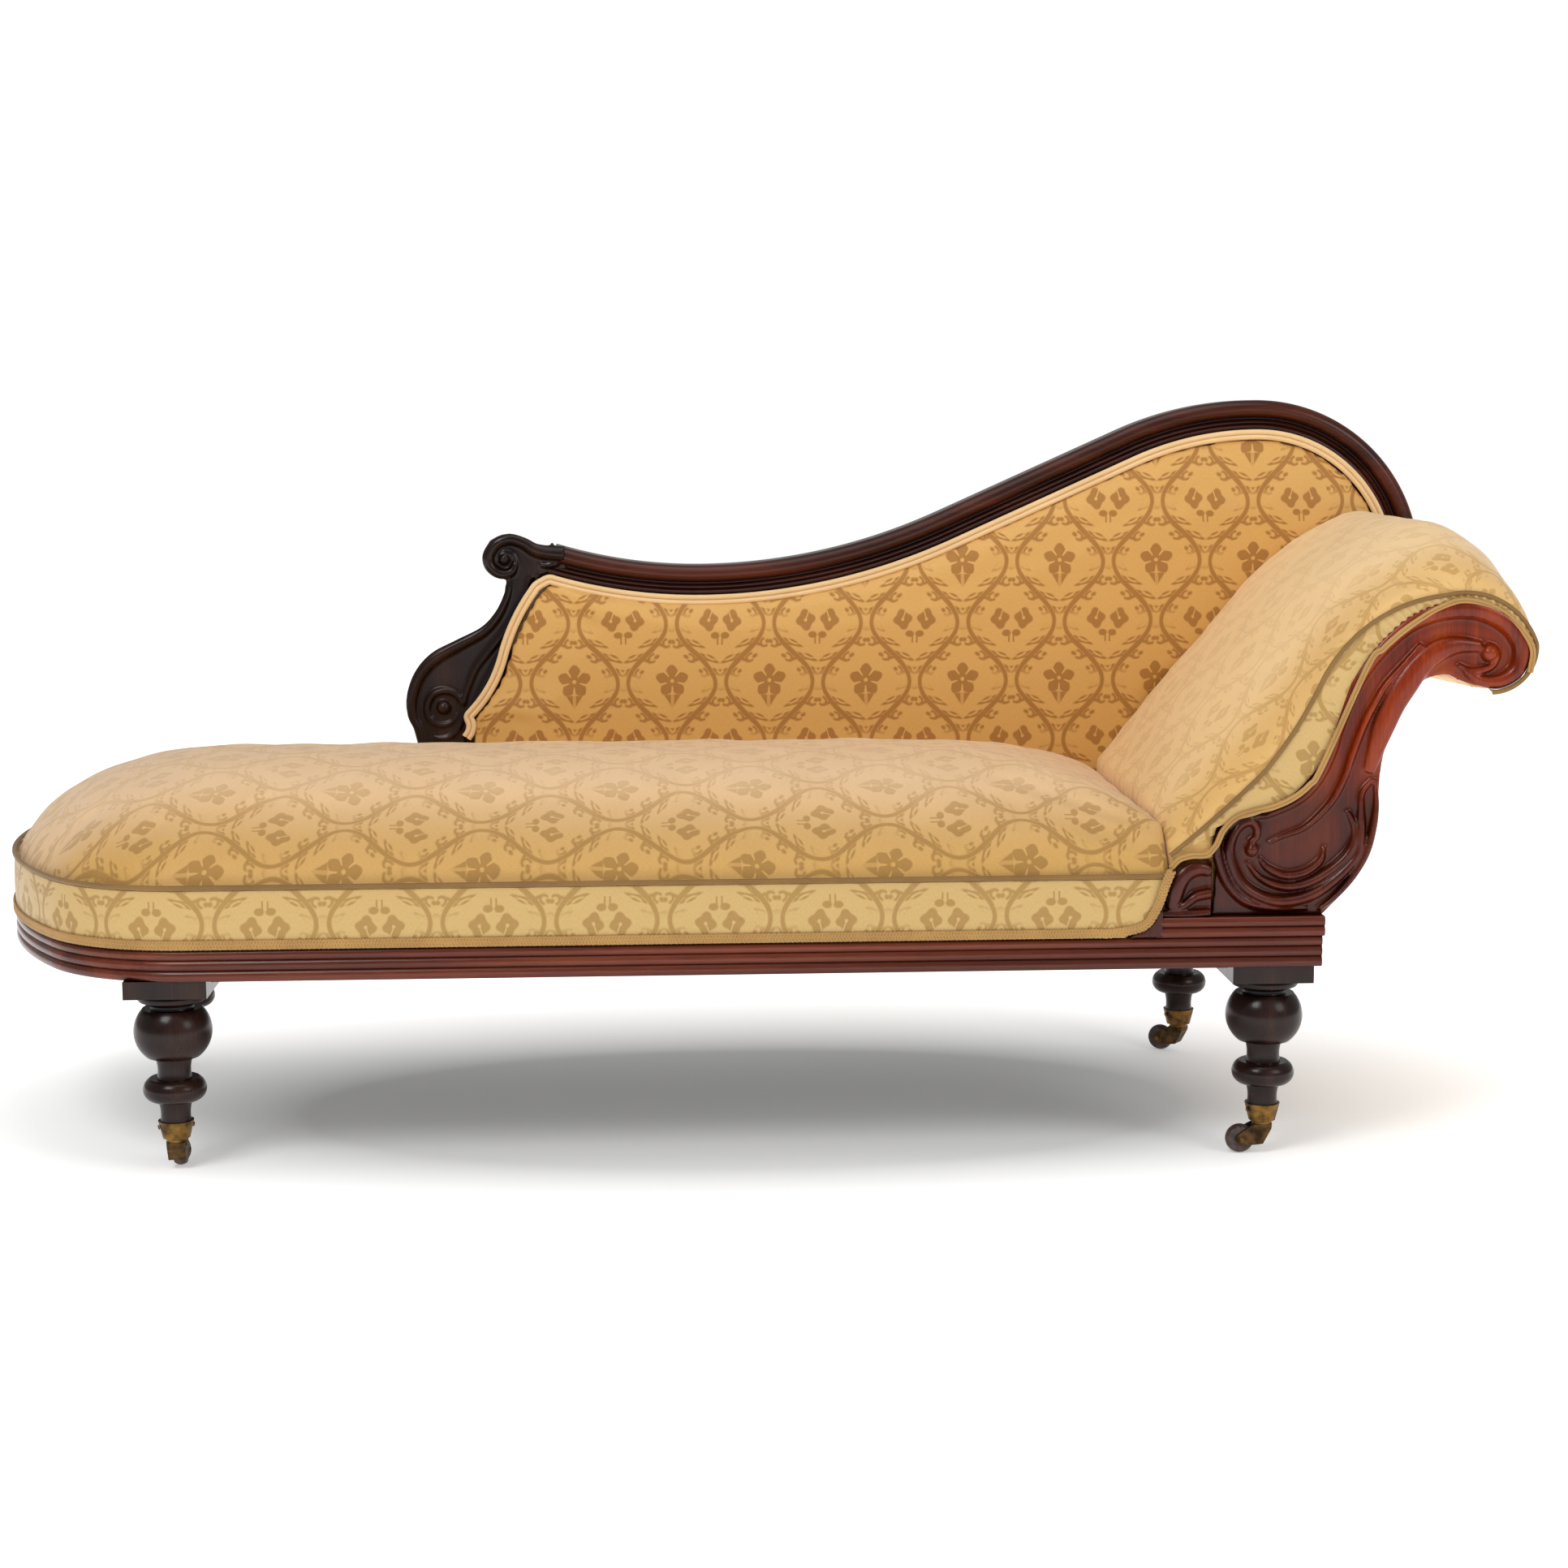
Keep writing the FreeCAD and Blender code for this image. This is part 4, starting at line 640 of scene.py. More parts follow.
def baked(shape: bpy.types.Object, name: str) -> bpy.types.Mesh:
    """The mesh of an object with its modifiers applied; the object is removed."""
    graph = bpy.context.evaluated_depsgraph_get()
    mesh = bpy.data.meshes.new_from_object(shape.evaluated_get(graph))
    mesh.name = name
    mesh.transform(shape.matrix_world)
    bpy.data.objects.remove(shape)
    return mesh


def staged(mesh: bpy.types.Mesh, name: str) -> bpy.types.Object:
    """A linked working object for a mesh."""
    worker = bpy.data.objects.new(name, mesh)
    bpy.context.scene.collection.objects.link(worker)
    return worker


def sharp_edges(mesh: bpy.types.Mesh, degrees: float) -> None:
    """Marks edges sharper than an angle as hard, so that mouldings keep crisp lines."""
    shape = bmesh.new()
    shape.from_mesh(mesh)
    limit = math.radians(degrees)
    for edge in shape.edges:
        edge.smooth = len(edge.link_faces) != 2 or edge.calc_face_angle(0.0) < limit
    shape.to_mesh(mesh)
    shape.free()


def sweep(
    profile: Sequence[tuple[float, float]],
    stations: Sequence[Matrix],
    name: str,
    sharp: float = 40.0,
) -> bpy.types.Mesh:
    """Carries a closed profile along stations by extruding it and moving each new ring.

    Args:
        profile: (x, y) points in the station's own plane, in millimetres.
        stations: the frames, in metres; their Z axis points along the path.
        name: the mesh's name.
        sharp: angle above which an edge of the moulding stays crisp.

    Returns:
        A closed mesh with a UV map of metres along and across, named cloth.
    """
    girth = [0.0]
    for before, after in zip(profile, profile[1:]):
        girth.append(girth[-1] + math.dist(before, after))
    rings = [[station @ Vector((x * MM, y * MM, 0)) for x, y in profile] for station in stations]
    shape = bmesh.new()
    along = shape.verts.layers.float.new("along")
    across = shape.verts.layers.float.new("across")
    ring = first_ring(shape, rings[0])
    for vert, spent in zip(ring, girth):
        vert[across] = spent * MM
    spent = 0.0
    for at in range(1, len(rings)):
        spent += (stations[at].translation - stations[at - 1].translation).length
        ring = carried(shape, ring, rings[at])
        for vert in ring:
            vert[along] = spent
    shape.faces.new(ring)
    bmesh.ops.recalc_face_normals(shape, faces=shape.faces)
    write_cloth_map(shape, along, across)
    mesh = to_mesh(shape, name)
    sharp_edges(mesh, sharp)
    return mesh


def first_ring(shape: bmesh.types.BMesh, places: Sequence[Vector]) -> list:
    """Starts a form with one closed face.

    Args:
        shape: the bmesh.
        places: where the ring's points lie.

    Returns:
        The ring's points in order.
    """
    ring = [shape.verts.new(place) for place in places]
    shape.faces.new(list(reversed(ring)))
    return ring


def carried(shape: bmesh.types.BMesh, ring: list, places: Sequence[Vector]) -> list:
    """Extrudes the edges of a ring and moves each new point to its place.

    Args:
        shape: the bmesh.
        ring: the points of the open end, in order.
        places: where the new points go, in the same order.

    Returns:
        The new ring.
    """
    count = len(ring)
    edges = [shape.edges.get((ring[at], ring[(at + 1) % count])) for at in range(count)]
    made = bmesh.ops.extrude_edge_only(shape, edges=edges)
    fresh = {item for item in made["geom"] if isinstance(item, bmesh.types.BMVert)}
    following = []
    for vert, place in zip(ring, places):
        partner = next(edge.other_vert(vert) for edge in vert.link_edges if edge.other_vert(vert) in fresh)
        partner.co = place
        following.append(partner)
    return following


def loft(rings: Sequence[Sequence[Vector]], name: str) -> bpy.types.Mesh:
    """A closed form through rings of the same number of points.

    Args:
        rings: the rings, in metres.
        name: the mesh's name.

    Returns:
        A closed mesh.
    """
    shape = bmesh.new()
    ring = first_ring(shape, rings[0])
    for places in rings[1:]:
        ring = carried(shape, ring, places)
    shape.faces.new(ring)
    bmesh.ops.recalc_face_normals(shape, faces=shape.faces)
    return to_mesh(shape, name)


def write_cloth_map(shape: bmesh.types.BMesh, along: object, across: object) -> None:
    """Copies two point values into the UV map named cloth."""
    layer = shape.loops.layers.uv.new("cloth")
    for face in shape.faces:
        for loop in face.loops:
            loop[layer].uv = (loop.vert[along], loop.vert[across])


def upright_stations(line: np.ndarray, y: float) -> list[Matrix]:
    """Frames along a line in an upright plane: X points to the left of travel, Y to the front."""
    stations = []
    for at in range(len(line)):
        ahead = line[min(at + 1, len(line) - 1)] - line[max(at - 1, 0)]
        run = Vector((ahead[0], 0, ahead[1])).normalized()
        left = Vector((-run.z, 0, run.x))
        frame_of = Matrix((left, Vector((0, -1, 0)), run)).transposed().to_4x4()
        frame_of.translation = Vector((line[at][0], y, line[at][1])) * MM
        stations.append(frame_of)
    return stations


def level_stations(line: np.ndarray, z: float) -> list[Matrix]:
    """Frames along a line in a level plane: X points to the right of travel, Y up."""
    stations = []
    for at in range(len(line)):
        ahead = line[min(at + 1, len(line) - 1)] - line[max(at - 1, 0)]
        run = Vector((ahead[0], ahead[1], 0)).normalized()
        right = Vector((run.y, -run.x, 0))
        frame_of = Matrix((right, Vector((0, 0, 1)), run)).transposed().to_4x4()
        frame_of.translation = Vector((line[at][0], line[at][1], z)) * MM
        stations.append(frame_of)
    return stations


def circle(radius: float, sides: int, x: float = 0.0, y: float = 0.0) -> list[tuple[float, float]]:
    """Points of a circle, anticlockwise."""
    return [
        (x + radius * math.cos(2 * math.pi * at / sides), y + radius * math.sin(2 * math.pi * at / sides))
        for at in range(sides)
    ]


def merged(meshes: Iterable[bpy.types.Mesh], name: str) -> bpy.types.Mesh:
    """One mesh of several."""
    shape = bmesh.new()
    for mesh in meshes:
        shape.from_mesh(mesh)
    return to_mesh(shape, name)


def slab(outline: Line, y0: float, y1: float, name: str) -> bpy.types.Mesh:
    """A board between two depths, extruded from its outline.

    Args:
        outline: closed outline as (x, z), in millimetres.
        y0: depth of the front face.
        y1: depth of the rear face.
        name: the mesh's name.

    Returns:
        A closed mesh.
    """
    shape = bmesh.new()
    front = shape.faces.new([shape.verts.new(Vector((x, y0, z)) * MM) for x, z in outline])
    made = bmesh.ops.extrude_face_region(shape, geom=[front])
    moved = [item for item in made["geom"] if isinstance(item, bmesh.types.BMVert)]
    bmesh.ops.translate(shape, verts=moved, vec=Vector((0, y1 - y0, 0)) * MM)
    bmesh.ops.recalc_face_normals(shape, faces=shape.faces)
    return to_mesh(shape, name)


def stroke(
    points: Sequence[Sequence[float]], y: float, flat: float = 0.6, sides: int = 16
) -> bpy.types.Mesh:
    """A carved rib: a tapering round bar laid on the face of a board.

    Args:
        points: (x, z, radius) along the rib, in millimetres.
        y: depth of its axis.
        flat: its height as a share of its half width.
        sides: sides of its section.

    Returns:
        A closed mesh.
    """
    line = smooth_line(points, max(8, len(points) * 6))
    rings = []
    for (_, _, radius), station in zip(line, upright_stations(line[:, :2], y)):
        section = circle(max(radius, 0.4), sides)
        rings.append([station @ Vector((x * MM, up * flat * MM, 0)) for x, up in section])
    return loft(rings, "rib")


def ball(x: float, y: float, z: float, radius: float, flat: float = 1.0) -> bpy.types.Mesh:
    """A round boss."""
    shape = bmesh.new()
    bmesh.ops.create_uvsphere(shape, u_segments=20, v_segments=12, radius=radius * MM)
    bmesh.ops.scale(shape, vec=(1, flat, 1), verts=shape.verts)
    bmesh.ops.translate(shape, vec=Vector((x, y, z)) * MM, verts=shape.verts)
    return to_mesh(shape, "boss")


def carved(meshes: Sequence[bpy.types.Mesh], name: str, voxel: float, passes: int) -> bpy.types.Mesh:
    """Cuts several overlapping forms from one block, with the soft edges of hand carving.

    Args:
        meshes: the overlapping closed forms.
        name: the mesh's name.
        voxel: the size of the cut's grid, in millimetres.
        passes: how often the surface is smoothed.

    Returns:
        One closed mesh.
    """
    worker = staged(merged(meshes, name), name + "_work")
    remesh = worker.modifiers.new("cut", "REMESH")
    remesh.mode = "VOXEL"
    remesh.voxel_size = voxel * MM
    mesh = baked(worker, name)
    shape = bmesh.new()
    shape.from_mesh(mesh)
    for _ in range(passes):
        bmesh.ops.smooth_vert(
            shape, verts=shape.verts, factor=0.5, use_axis_x=True, use_axis_y=True, use_axis_z=True
        )
    shape.to_mesh(mesh)
    shape.free()
    return mesh


@dataclass(frozen=True)
class Stuffing:
    """How a stuffed piece is simulated."""

    voxel: float = 7.0
    pressure: float = 3.0
    frames: int = 16
    cap: float = 14.0


def stuffed(mesh: bpy.types.Mesh, name: str, held: np.ndarray, how: Stuffing) -> bpy.types.Mesh:
    """Swells a closed pad under its cover, like cloth drawn tight over stuffing.

    Args:
        mesh: the closed starting form.
        name: the new mesh's name.
        held: boxes as rows (x0, x1, y0, y1, z0, z1) in millimetres whose points stay put.
        how: the settings of the simulation.

    Returns:
        The simulated, subdivided mesh.
    """
    worker = staged(mesh, name + "_work")
    remesh = worker.modifiers.new("even", "REMESH")
    remesh.mode = "VOXEL"
    remesh.voxel_size = how.voxel * MM
    start = baked(worker, name + "_start")
    points = np.zeros(len(start.vertices) * 3)
    start.vertices.foreach_get("co", points)
    points = points.reshape(-1, 3)
    worker = staged(start.copy(), name + "_cloth")
    pins = worker.vertex_groups.new(name="held")
    stay = np.zeros(len(points), bool)
    for row in held * MM:
        low, high = row[0::2], row[1::2]
        stay |= np.all((points >= low) & (points <= high), axis=1)
    pins.add([int(at) for at in np.flatnonzero(stay)], 1.0, "REPLACE")
    cloth = worker.modifiers.new("cloth", "CLOTH")
    cloth.settings.vertex_group_mass = "held"
    cloth.settings.use_pressure = True
    cloth.settings.uniform_pressure_force = how.pressure
    cloth.settings.effector_weights.gravity = 0
    cloth.settings.quality = 4
    cloth.point_cache.frame_end = how.frames
    for at in range(1, how.frames + 1):
        bpy.context.scene.frame_set(at)
    moved = np.zeros(len(points) * 3)
    graph = bpy.context.evaluated_depsgraph_get()
    worker.evaluated_get(graph).data.vertices.foreach_get("co", moved)
    shift = moved.reshape(-1, 3) - points
    length = np.linalg.norm(shift, axis=1, keepdims=True)
    shift *= np.minimum(1.0, how.cap * MM / np.maximum(length, 1e-9))
    points = points + shift
    bpy.data.objects.remove(worker)
    bpy.context.scene.frame_set(1)
    start.vertices.foreach_set("co", points.ravel())
    start.update()
    worker = staged(start, name + "_fine")
    fine = worker.modifiers.new("fine", "SUBSURF")
    fine.levels = fine.render_levels = 1
    return baked(worker, name)


def map_cloth(mesh: bpy.types.Mesh, where: Callable[[np.ndarray], np.ndarray]) -> None:
    """Writes the UV map named cloth and the wear from a function of the points.

    Args:
        mesh: the mesh.
        where: takes points in millimetres and gives (u, v, wear) columns.
    """
    points = np.zeros(len(mesh.vertices) * 3)
    mesh.vertices.foreach_get("co", points)
    made = where(points.reshape(-1, 3) / MM)
    layer = mesh.uv_layers.get("cloth") or mesh.uv_layers.new(name="cloth")
    corner = np.zeros(len(mesh.loops), np.int64)
    mesh.loops.foreach_get("vertex_index", corner)
    layer.data.foreach_set("uv", (made[corner, :2] * MM).ravel())
    wear = mesh.attributes.new("wear", "FLOAT", "POINT")
    wear.data.foreach_set("value", np.clip(made[:, 2], 0, 1).astype(np.float32))


def eased(value: np.ndarray, low: float, high: float) -> np.ndarray:
    """Rises smoothly from 0 at low to 1 at high."""
    share = np.clip((value - low) / (high - low), 0, 1)
    return share * share * (3 - 2 * share)


def crown_rise(share: float) -> float:
    """How far a stuffed crown has risen at a share of its reach."""
    return (1 - (1 - share) ** 1.6) ** 0.62


def cloth_over_crown(distance: np.ndarray, start: float, reach: float, height: float) -> np.ndarray:
    """Length of cloth from an edge up over a crown.

    Args:
        distance: how far in from the edge each point lies.
        start: where the crown starts.
        reach: how far in it rises.
        height: how high it rises.

    Returns:
        The length of cloth up to each point.
    """
    levels = np.linspace(0, 1, 40)
    insets = start + levels * reach
    arcs = run_lengths(np.column_stack([insets, [crown_rise(level) * height for level in levels]]))
    return np.interp(distance, insets, arcs) + np.maximum(distance - insets[-1], 0)


def keep_box(low: Sequence[float], high: Sequence[float], name: str) -> bpy.types.Mesh:
    """A block between two corners, in millimetres."""
    shape = bmesh.new()
    bmesh.ops.create_cube(shape, size=1.0)
    centre = (Vector(low) + Vector(high)) / 2 * MM
    bmesh.ops.scale(shape, vec=(Vector(high) - Vector(low)) * MM, verts=shape.verts)
    bmesh.ops.translate(shape, vec=centre, verts=shape.verts)
    return to_mesh(shape, name)


def cut_away(mesh: bpy.types.Mesh, tool: bpy.types.Mesh, name: str) -> bpy.types.Mesh:
    """The mesh without the room that a tool's mesh takes."""
    worker = staged(mesh, name + "_work")
    knife = staged(tool, name + "_knife")
    cutting = worker.modifiers.new("cut", "BOOLEAN")
    cutting.operation = "DIFFERENCE"
    cutting.solver = "EXACT"
    cutting.object = knife
    result = baked(worker, name)
    bpy.data.objects.remove(knife)
    return result


# Outlines that several sub-assemblies share, in millimetres


@dataclass(frozen=True)
class Plan:
    """The rails seen from above: straight front and rear joined by three arcs round the foot."""

    front: float = -310.0
    rear: float = 310.0
    foot: float = -910.0
    front_radius: float = 200.0
    front_turn: float = 57.0
    bow_radius: float = 628.0
    rear_radius: float = 90.0
    neck: float = 10.0

    def line(self, inset: float, head_x: float, rear_x: float | None = None, soft: bool = False) -> Line:
        """The outline from the head along the front, round the foot and back along the rear.

        Args:
            inset: distance inwards from the face of the rails.
            head_x: where the front starts.
            rear_x: where the rear ends; at head_x if left out.
            soft: tightens the corners with the inset, as stuffed edges do.

        Returns:
            Points about 6 mm apart.
        """
        kept = min(inset, self.neck) if soft else inset
        share = 1 - (inset - kept) / self.rear
        radii = (self.front_radius, self.bow_radius, self.rear_radius)
        front, bow, rear = ((radius - kept) * share for radius in radii)
        tilt = math.radians(90 - self.front_turn)
        left, near, far = self.foot + inset, self.front + inset, self.rear - inset
        front_at = (left + bow - (bow - front) * math.cos(tilt), near + front)
        bow_at = (left + bow, front_at[1] + (bow - front) * math.sin(tilt))
        rise = far - rear - bow_at[1]
        rear_at = (bow_at[0] - math.sqrt((bow - rear) ** 2 - rise**2), far - rear)
        turn = math.pi + tilt
        last = math.pi - math.asin((rear_at[1] - bow_at[1]) / (bow - rear))
        points: Line = [(head_x, near)]
        arcs = (
            (front_at, front, 1.5 * math.pi, turn),
            (bow_at, bow, turn, last),
            (rear_at, rear, last, math.pi / 2),
        )
        for (x, y), radius, start, end in arcs:
            pieces = max(6, int(radius * abs(end - start) / 6))
            for at in range(pieces):
                angle = start + (end - start) * at / pieces
                points.append((x + radius * math.cos(angle), y + radius * math.sin(angle)))
        points.append((rear_at[0], far))
        points.append((head_x if rear_x is None else rear_x, far))
        return [tuple(point) for point in evenly(points, max(2, int(self.reach(points) / 6)))]

    @staticmethod
    def reach(points: Line) -> float:
        """Length of a line."""
        return sum(math.dist(a, b) for a, b in zip(points, points[1:]))


@dataclass(frozen=True)
class HeadShape:
    """The head end seen from the front: its piping line, its crown and the carved board."""

    seam: float = 478.0
    rail_top: float = 267.5
    plinth_top: float = 290.5
    volute_x: float = 842.0
    volute_z: float = 595.0
    volute_radius: float = 45.0
    frame_end: float = 655.0
    ear_top: float = 357.0

    def at(self, across: float, rise: float) -> tuple[float, float]:
        """A point by its share of the way from the seam to the volute."""
        return (
            self.seam + across * (self.volute_x - self.seam),
            self.rail_top + rise * (self.volute_z - self.rail_top),
        )

    def outside(self, low: float) -> list[Corner]:
        """Corners from under the roll down to the frame."""
        x, z = self.volute_x, self.volute_z
        return [
            (x - 45, z - 29, -9),
            (x - 97, z - 59, -5),
            (x - 122, z - 151, 4),
            (x - 141, z - 251, 2),
            (self.frame_end - 1, low, 0),
        ]

    def rest(self, swell: float, low: float) -> list[Corner]:
        """Corners of the head rest, from the piping line at swell 0 to the crown at swell 1."""
        x, z, edge = self.volute_x, self.volute_z, self.volute_radius
        piped = [
            (self.seam, low, 0),
            (self.seam, self.ear_top + 5, -2),
            (*self.at(0.294, 0.579), -4),
            (*self.at(0.473, 0.899), 22),
            (x - 52, z + 62, 23),
            (x + edge + 8, z + 6, 16),
            (x + 4, z - edge - 4, 3),
        ]
        full = [
            (self.seam, low, 0),
            (self.seam, self.ear_top + 51, 0),
            (*self.at(0.225, 0.744), 0),
            (*self.at(0.5, 1.101), 14),
            (x - 27, z + 141, 28),
            (x + edge + 12.3, z + 45, 33),
            (x + 4, z - edge - 4, 3),
        ]
        inner = [tuple(a + (b - a) * swell for a, b in zip(one, two)) for one, two in zip(piped, full)]
        return inner + self.outside(low)

    def board(self, low: float) -> list[Corner]:
        """Corners of the carved front board."""
        x, z, edge = self.volute_x, self.volute_z, self.volute_radius
        return [
            (self.seam + 50, low, -3),
            (*self.at(0.14, 0.359), 7),
            (*self.at(0.203, 0.411), -8),
            (*self.at(0.42, 0.536), -9),
            (*self.at(0.574, 0.878), 12),
            (x - 42, z + 54, 16),
            (x + edge, z, 19),
            (x, z - edge, 2),
            *self.outside(low)[:-1],
            (self.frame_end + 2, low, 0),
        ]


@dataclass(frozen=True)
class BackShape:
    """The back seen from the front: serpentine top, S support and padding."""

    low_x: float = -48.0
    low_z: float = 666.0
    crest_x: float = 691.0
    crest_z: float = 879.0
    left_radius: float = 640.0
    right_radius: float = 782.0
    slope: float = 24.0
    shoulder: float = 225.0
    left_turn: float = 17.0
    fall: float = 78.0
    band: float = 40.0
    strip_top: float = 299.5

    def top(self, offset: float) -> list[Corner]:
        """Corners of the serpentine top from left to right, moved inwards by offset."""
        low_z, crest_z = self.low_z - offset, self.crest_z - offset
        left, right = self.left_radius + offset, self.right_radius + offset
        slope, turn, fall = (math.radians(v) for v in (self.slope, self.left_turn, self.fall))
        shoulder = self.shoulder - offset
        start = (self.low_x + right * math.sin(slope), low_z + right * (1 - math.cos(slope)))
        run, drop = self.crest_x - start[0], crest_z - start[1]
        crest = (run * math.sin(slope) - drop * math.cos(slope)) / (1 - math.cos(slope))
        level = (self.crest_x - crest * math.sin(slope), crest_z - crest * (1 - math.cos(slope)))
        return [
            (
                self.low_x - left * math.sin(turn),
                low_z + left * (1 - math.cos(turn)),
                -left * (1 - math.cos(turn / 2)),
            ),
            (self.low_x, low_z, -right * (1 - math.cos(slope / 2))),
            (*start, 0),
            (*level, crest * (1 - math.cos(slope / 2))),
            (self.crest_x, crest_z, shoulder * (1 - math.cos(fall / 2))),
            (self.crest_x + shoulder * math.sin(fall), crest_z - shoulder * (1 - math.cos(fall)), 0),
        ]

    def foot(self, across: float, rise: float, bow: float = 0) -> Corner:
        """A corner of the S support, measured from the foot end of the top rail."""
        end = self.top(0)[0]
        return end[0] + across, self.strip_top + rise * (end[1] - self.strip_top), bow

    def support(self) -> list[Corner]:
        """Corners of the S support."""
        return [
            self.foot(-62.2, 0.887, 5),
            self.foot(-75, 0.767, 12),
            self.foot(-166, 0.628, -12),
            self.foot(-197, 0.432, 8),
            self.foot(-177, 0),
            self.foot(-125, 0, 4),
            self.foot(-121, 0.432, -6),
            self.foot(-75, 0.628, 6),
            self.foot(-27.2, 0.9),
        ]

    def padding(self, offset: float, head: HeadShape) -> Line:
        """The sampled edge of the padding, with the show wood drawn in by offset."""
        inner = bowed(self.top(self.band + offset))
        foot = bowed(
            [
                (self.foot(-120.4, 0)[0] + offset, self.strip_top + 1, 4),
                self.foot(-120.4 + offset, 0.432, -6),
                self.foot(-74 + offset, 0.628, 6),
                self.foot(-23 + offset, 0.888 - offset / 400),
                inner[0],
            ]
        )
        rest = bowed(
            [
                inner[-1],
                (head.volute_x - 2, head.volute_z + 25, 0),
                (*head.at(0.335, 0.649), 0),
                (head.seam + 82, self.strip_top + 1, 0),
                foot[0],
            ]
        )
        return foot + inner[1:] + rest[1:-1]


PLAN = Plan()
HEAD = HeadShape()
BACK = BackShape()
# The seat's rear edge and the height of its piping
SEAT_BACK = 225.7
PIPING_Z = 340.0
PLACES = ("front_left", "front_right", "rear_left", "rear_right")


def ruffled(mesh: bpy.types.Mesh, depth: float, pitch: float) -> None:
    """Gives a stuffed cover the slow, uneven swells of hand-laid stuffing.

    Args:
        mesh: the mesh, moved in place.
        depth: greatest rise, in millimetres.
        pitch: distance between swells, in millimetres.
    """
    count = len(mesh.vertices)
    points, normals = np.zeros(count * 3), np.zeros(count * 3)
    mesh.vertices.foreach_get("co", points)
    mesh.vertices.foreach_get("normal", normals)
    points, normals = points.reshape(-1, 3), normals.reshape(-1, 3)
    x, y, z = (points / MM * 2 * math.pi / pitch).T
    swell = np.sin(x + 0.8 * np.sin(y * 0.7 + 1.3)) * np.cos(y * 1.1 + 0.5 * z)
    swell += 0.5 * np.sin(2.3 * x + 1.7 * y + 0.6) + 0.35 * np.sin(3.1 * z - 1.9 * x + 2.1)
    points += normals * (swell * depth / 1.85 * MM)[:, None]
    mesh.vertices.foreach_set("co", points.ravel())
    mesh.update()


def along_line(points: np.ndarray, line: np.ndarray) -> np.ndarray:
    """How far along a line each point's nearest sample lies, in the line's units."""
    reach = run_lengths(line)
    nearest = np.zeros(len(points), int)
    for start in range(0, len(points), 4000):
        block = points[start : start + 4000]
        gaps = np.linalg.norm(block[:, None, :] - line[None, :, :], axis=2)
        nearest[start : start + 4000] = gaps.argmin(axis=1)
    low = np.clip(nearest - 1, 0, len(line) - 2)
    high = np.clip(nearest + 1, 1, len(line) - 1)
    run = line[high] - line[low]
    square = np.maximum(np.einsum("ij,ij->i", run, run), 1e-9)
    share = np.einsum("ij,ij->i", points - line[low], run) / square
    return reach[low] + np.clip(share, 0, 1) * (reach[high] - reach[low])


@dataclass
class Stock:
    """The materials of the couch, made once and handed out by name."""

    made: dict[str, bpy.types.Material] = field(default_factory=dict)

    def get(self, finish: object) -> bpy.types.Material:
        """The material of a finish."""
        if finish.name not in self.made:
            self.made[finish.name] = finish.make()
        return self.made[finish.name]

    def dress(self, finish: object, nodes: Iterable[str]) -> None:
        """Gives carried-over pieces a finish.

        Args:
            finish: the finish.
            nodes: names of the nodes.
        """
        for node in nodes:
            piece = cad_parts[node]
            piece = piece if isinstance(piece, bpy.types.Object) else bpy.data.objects[node]
            for holder in piece.material_slots:
                holder.material = self.get(finish)
            LOG.info("%s: kept, finished in %s", node, finish.name)


SHOW_WOOD = FrenchPolishedMahogany(dark="#1d0904", middle="#3d170b", light="#572413", gloss=0.28)
CARVED_WOOD = FrenchPolishedMahogany(
    name="carved_mahogany",
    grain=Grain.ALONG_Z,
    dark="#4c1002",
    middle="#7f2805",
    light="#9c4010",
    gloss=0.3,
    darker_below_mm=440.0,
)
LEG_WOOD = FrenchPolishedMahogany(
    name="turned_mahogany",
    grain=Grain.ALONG_Z,
    dark="#110705",
    middle="#23110c",
    light="#362018",
    gloss=0.25,
)
RAIL_WOOD = FrenchPolishedMahogany(name="rail_mahogany", dark="#300e06", middle="#58210f", light="#77351b")
CROSS_WOOD = FrenchPolishedMahogany(
    name="head_rail_mahogany", grain=Grain.ALONG_Y, dark="#300e06", middle="#58210f", light="#77351b"
)
BEECH = BareTimber()
SEAT_TOP_CLOTH = Damask("seat_damask", "#c3964d", "#9b7130", "#e4bf92", wear=1.0, contrast=0.85)
BOXING_CLOTH = Damask("boxing_damask", "#c2a164", "#9c773a", "#cfae72", wear=0.2, contrast=0.8)
BACK_CLOTH = Damask("back_damask", "#d19f53", "#9a6422", "#dab06c", wear=0.15, contrast=0.9)
HEAD_CLOTH = Damask("head_damask", "#dbae66", "#ba8d48", "#f2cd94", wear=1.0, contrast=0.8)
PIPE_CLOTH = PlainCloth("bias_cut_piping", "#9c7433", "#71501f", thread_mm=1.0)
GIMP_CLOTH = PlainCloth("plaited_gimp", "#cda25c", "#9a7138", thread_mm=0.9)
WELT_CLOTH = PlainCloth("pale_welt", "#f6d6a6", "#dfb981", thread_mm=0.9)
BLACK_LINING = PlainCloth("black_cotton_lining", "#3a3634", "#26221f", thread_mm=1.2)
OUTSIDE_CLOTH = PlainCloth("outside_back_cotton", "#c8a263", "#9b773d", thread_mm=1.0)
JUTE = PlainCloth("jute_webbing", "#b89c6c", "#7e6740", thread_mm=2.0)
HESSIAN = PlainCloth("hessian", "#a98a5b", "#6f5935", thread_mm=1.6)
BRASS = AgedMetal("aged_brass", "#8d6a35", "#4b3826")
IRON = AgedMetal("bronzed_iron", "#6b5132", "#3a2c22", roughness=0.45)
STEEL = AgedMetal("spring_wire", "#8b8a86", "#57534d")
WHEEL = TurnedHardwood()


# Sub-assemblies


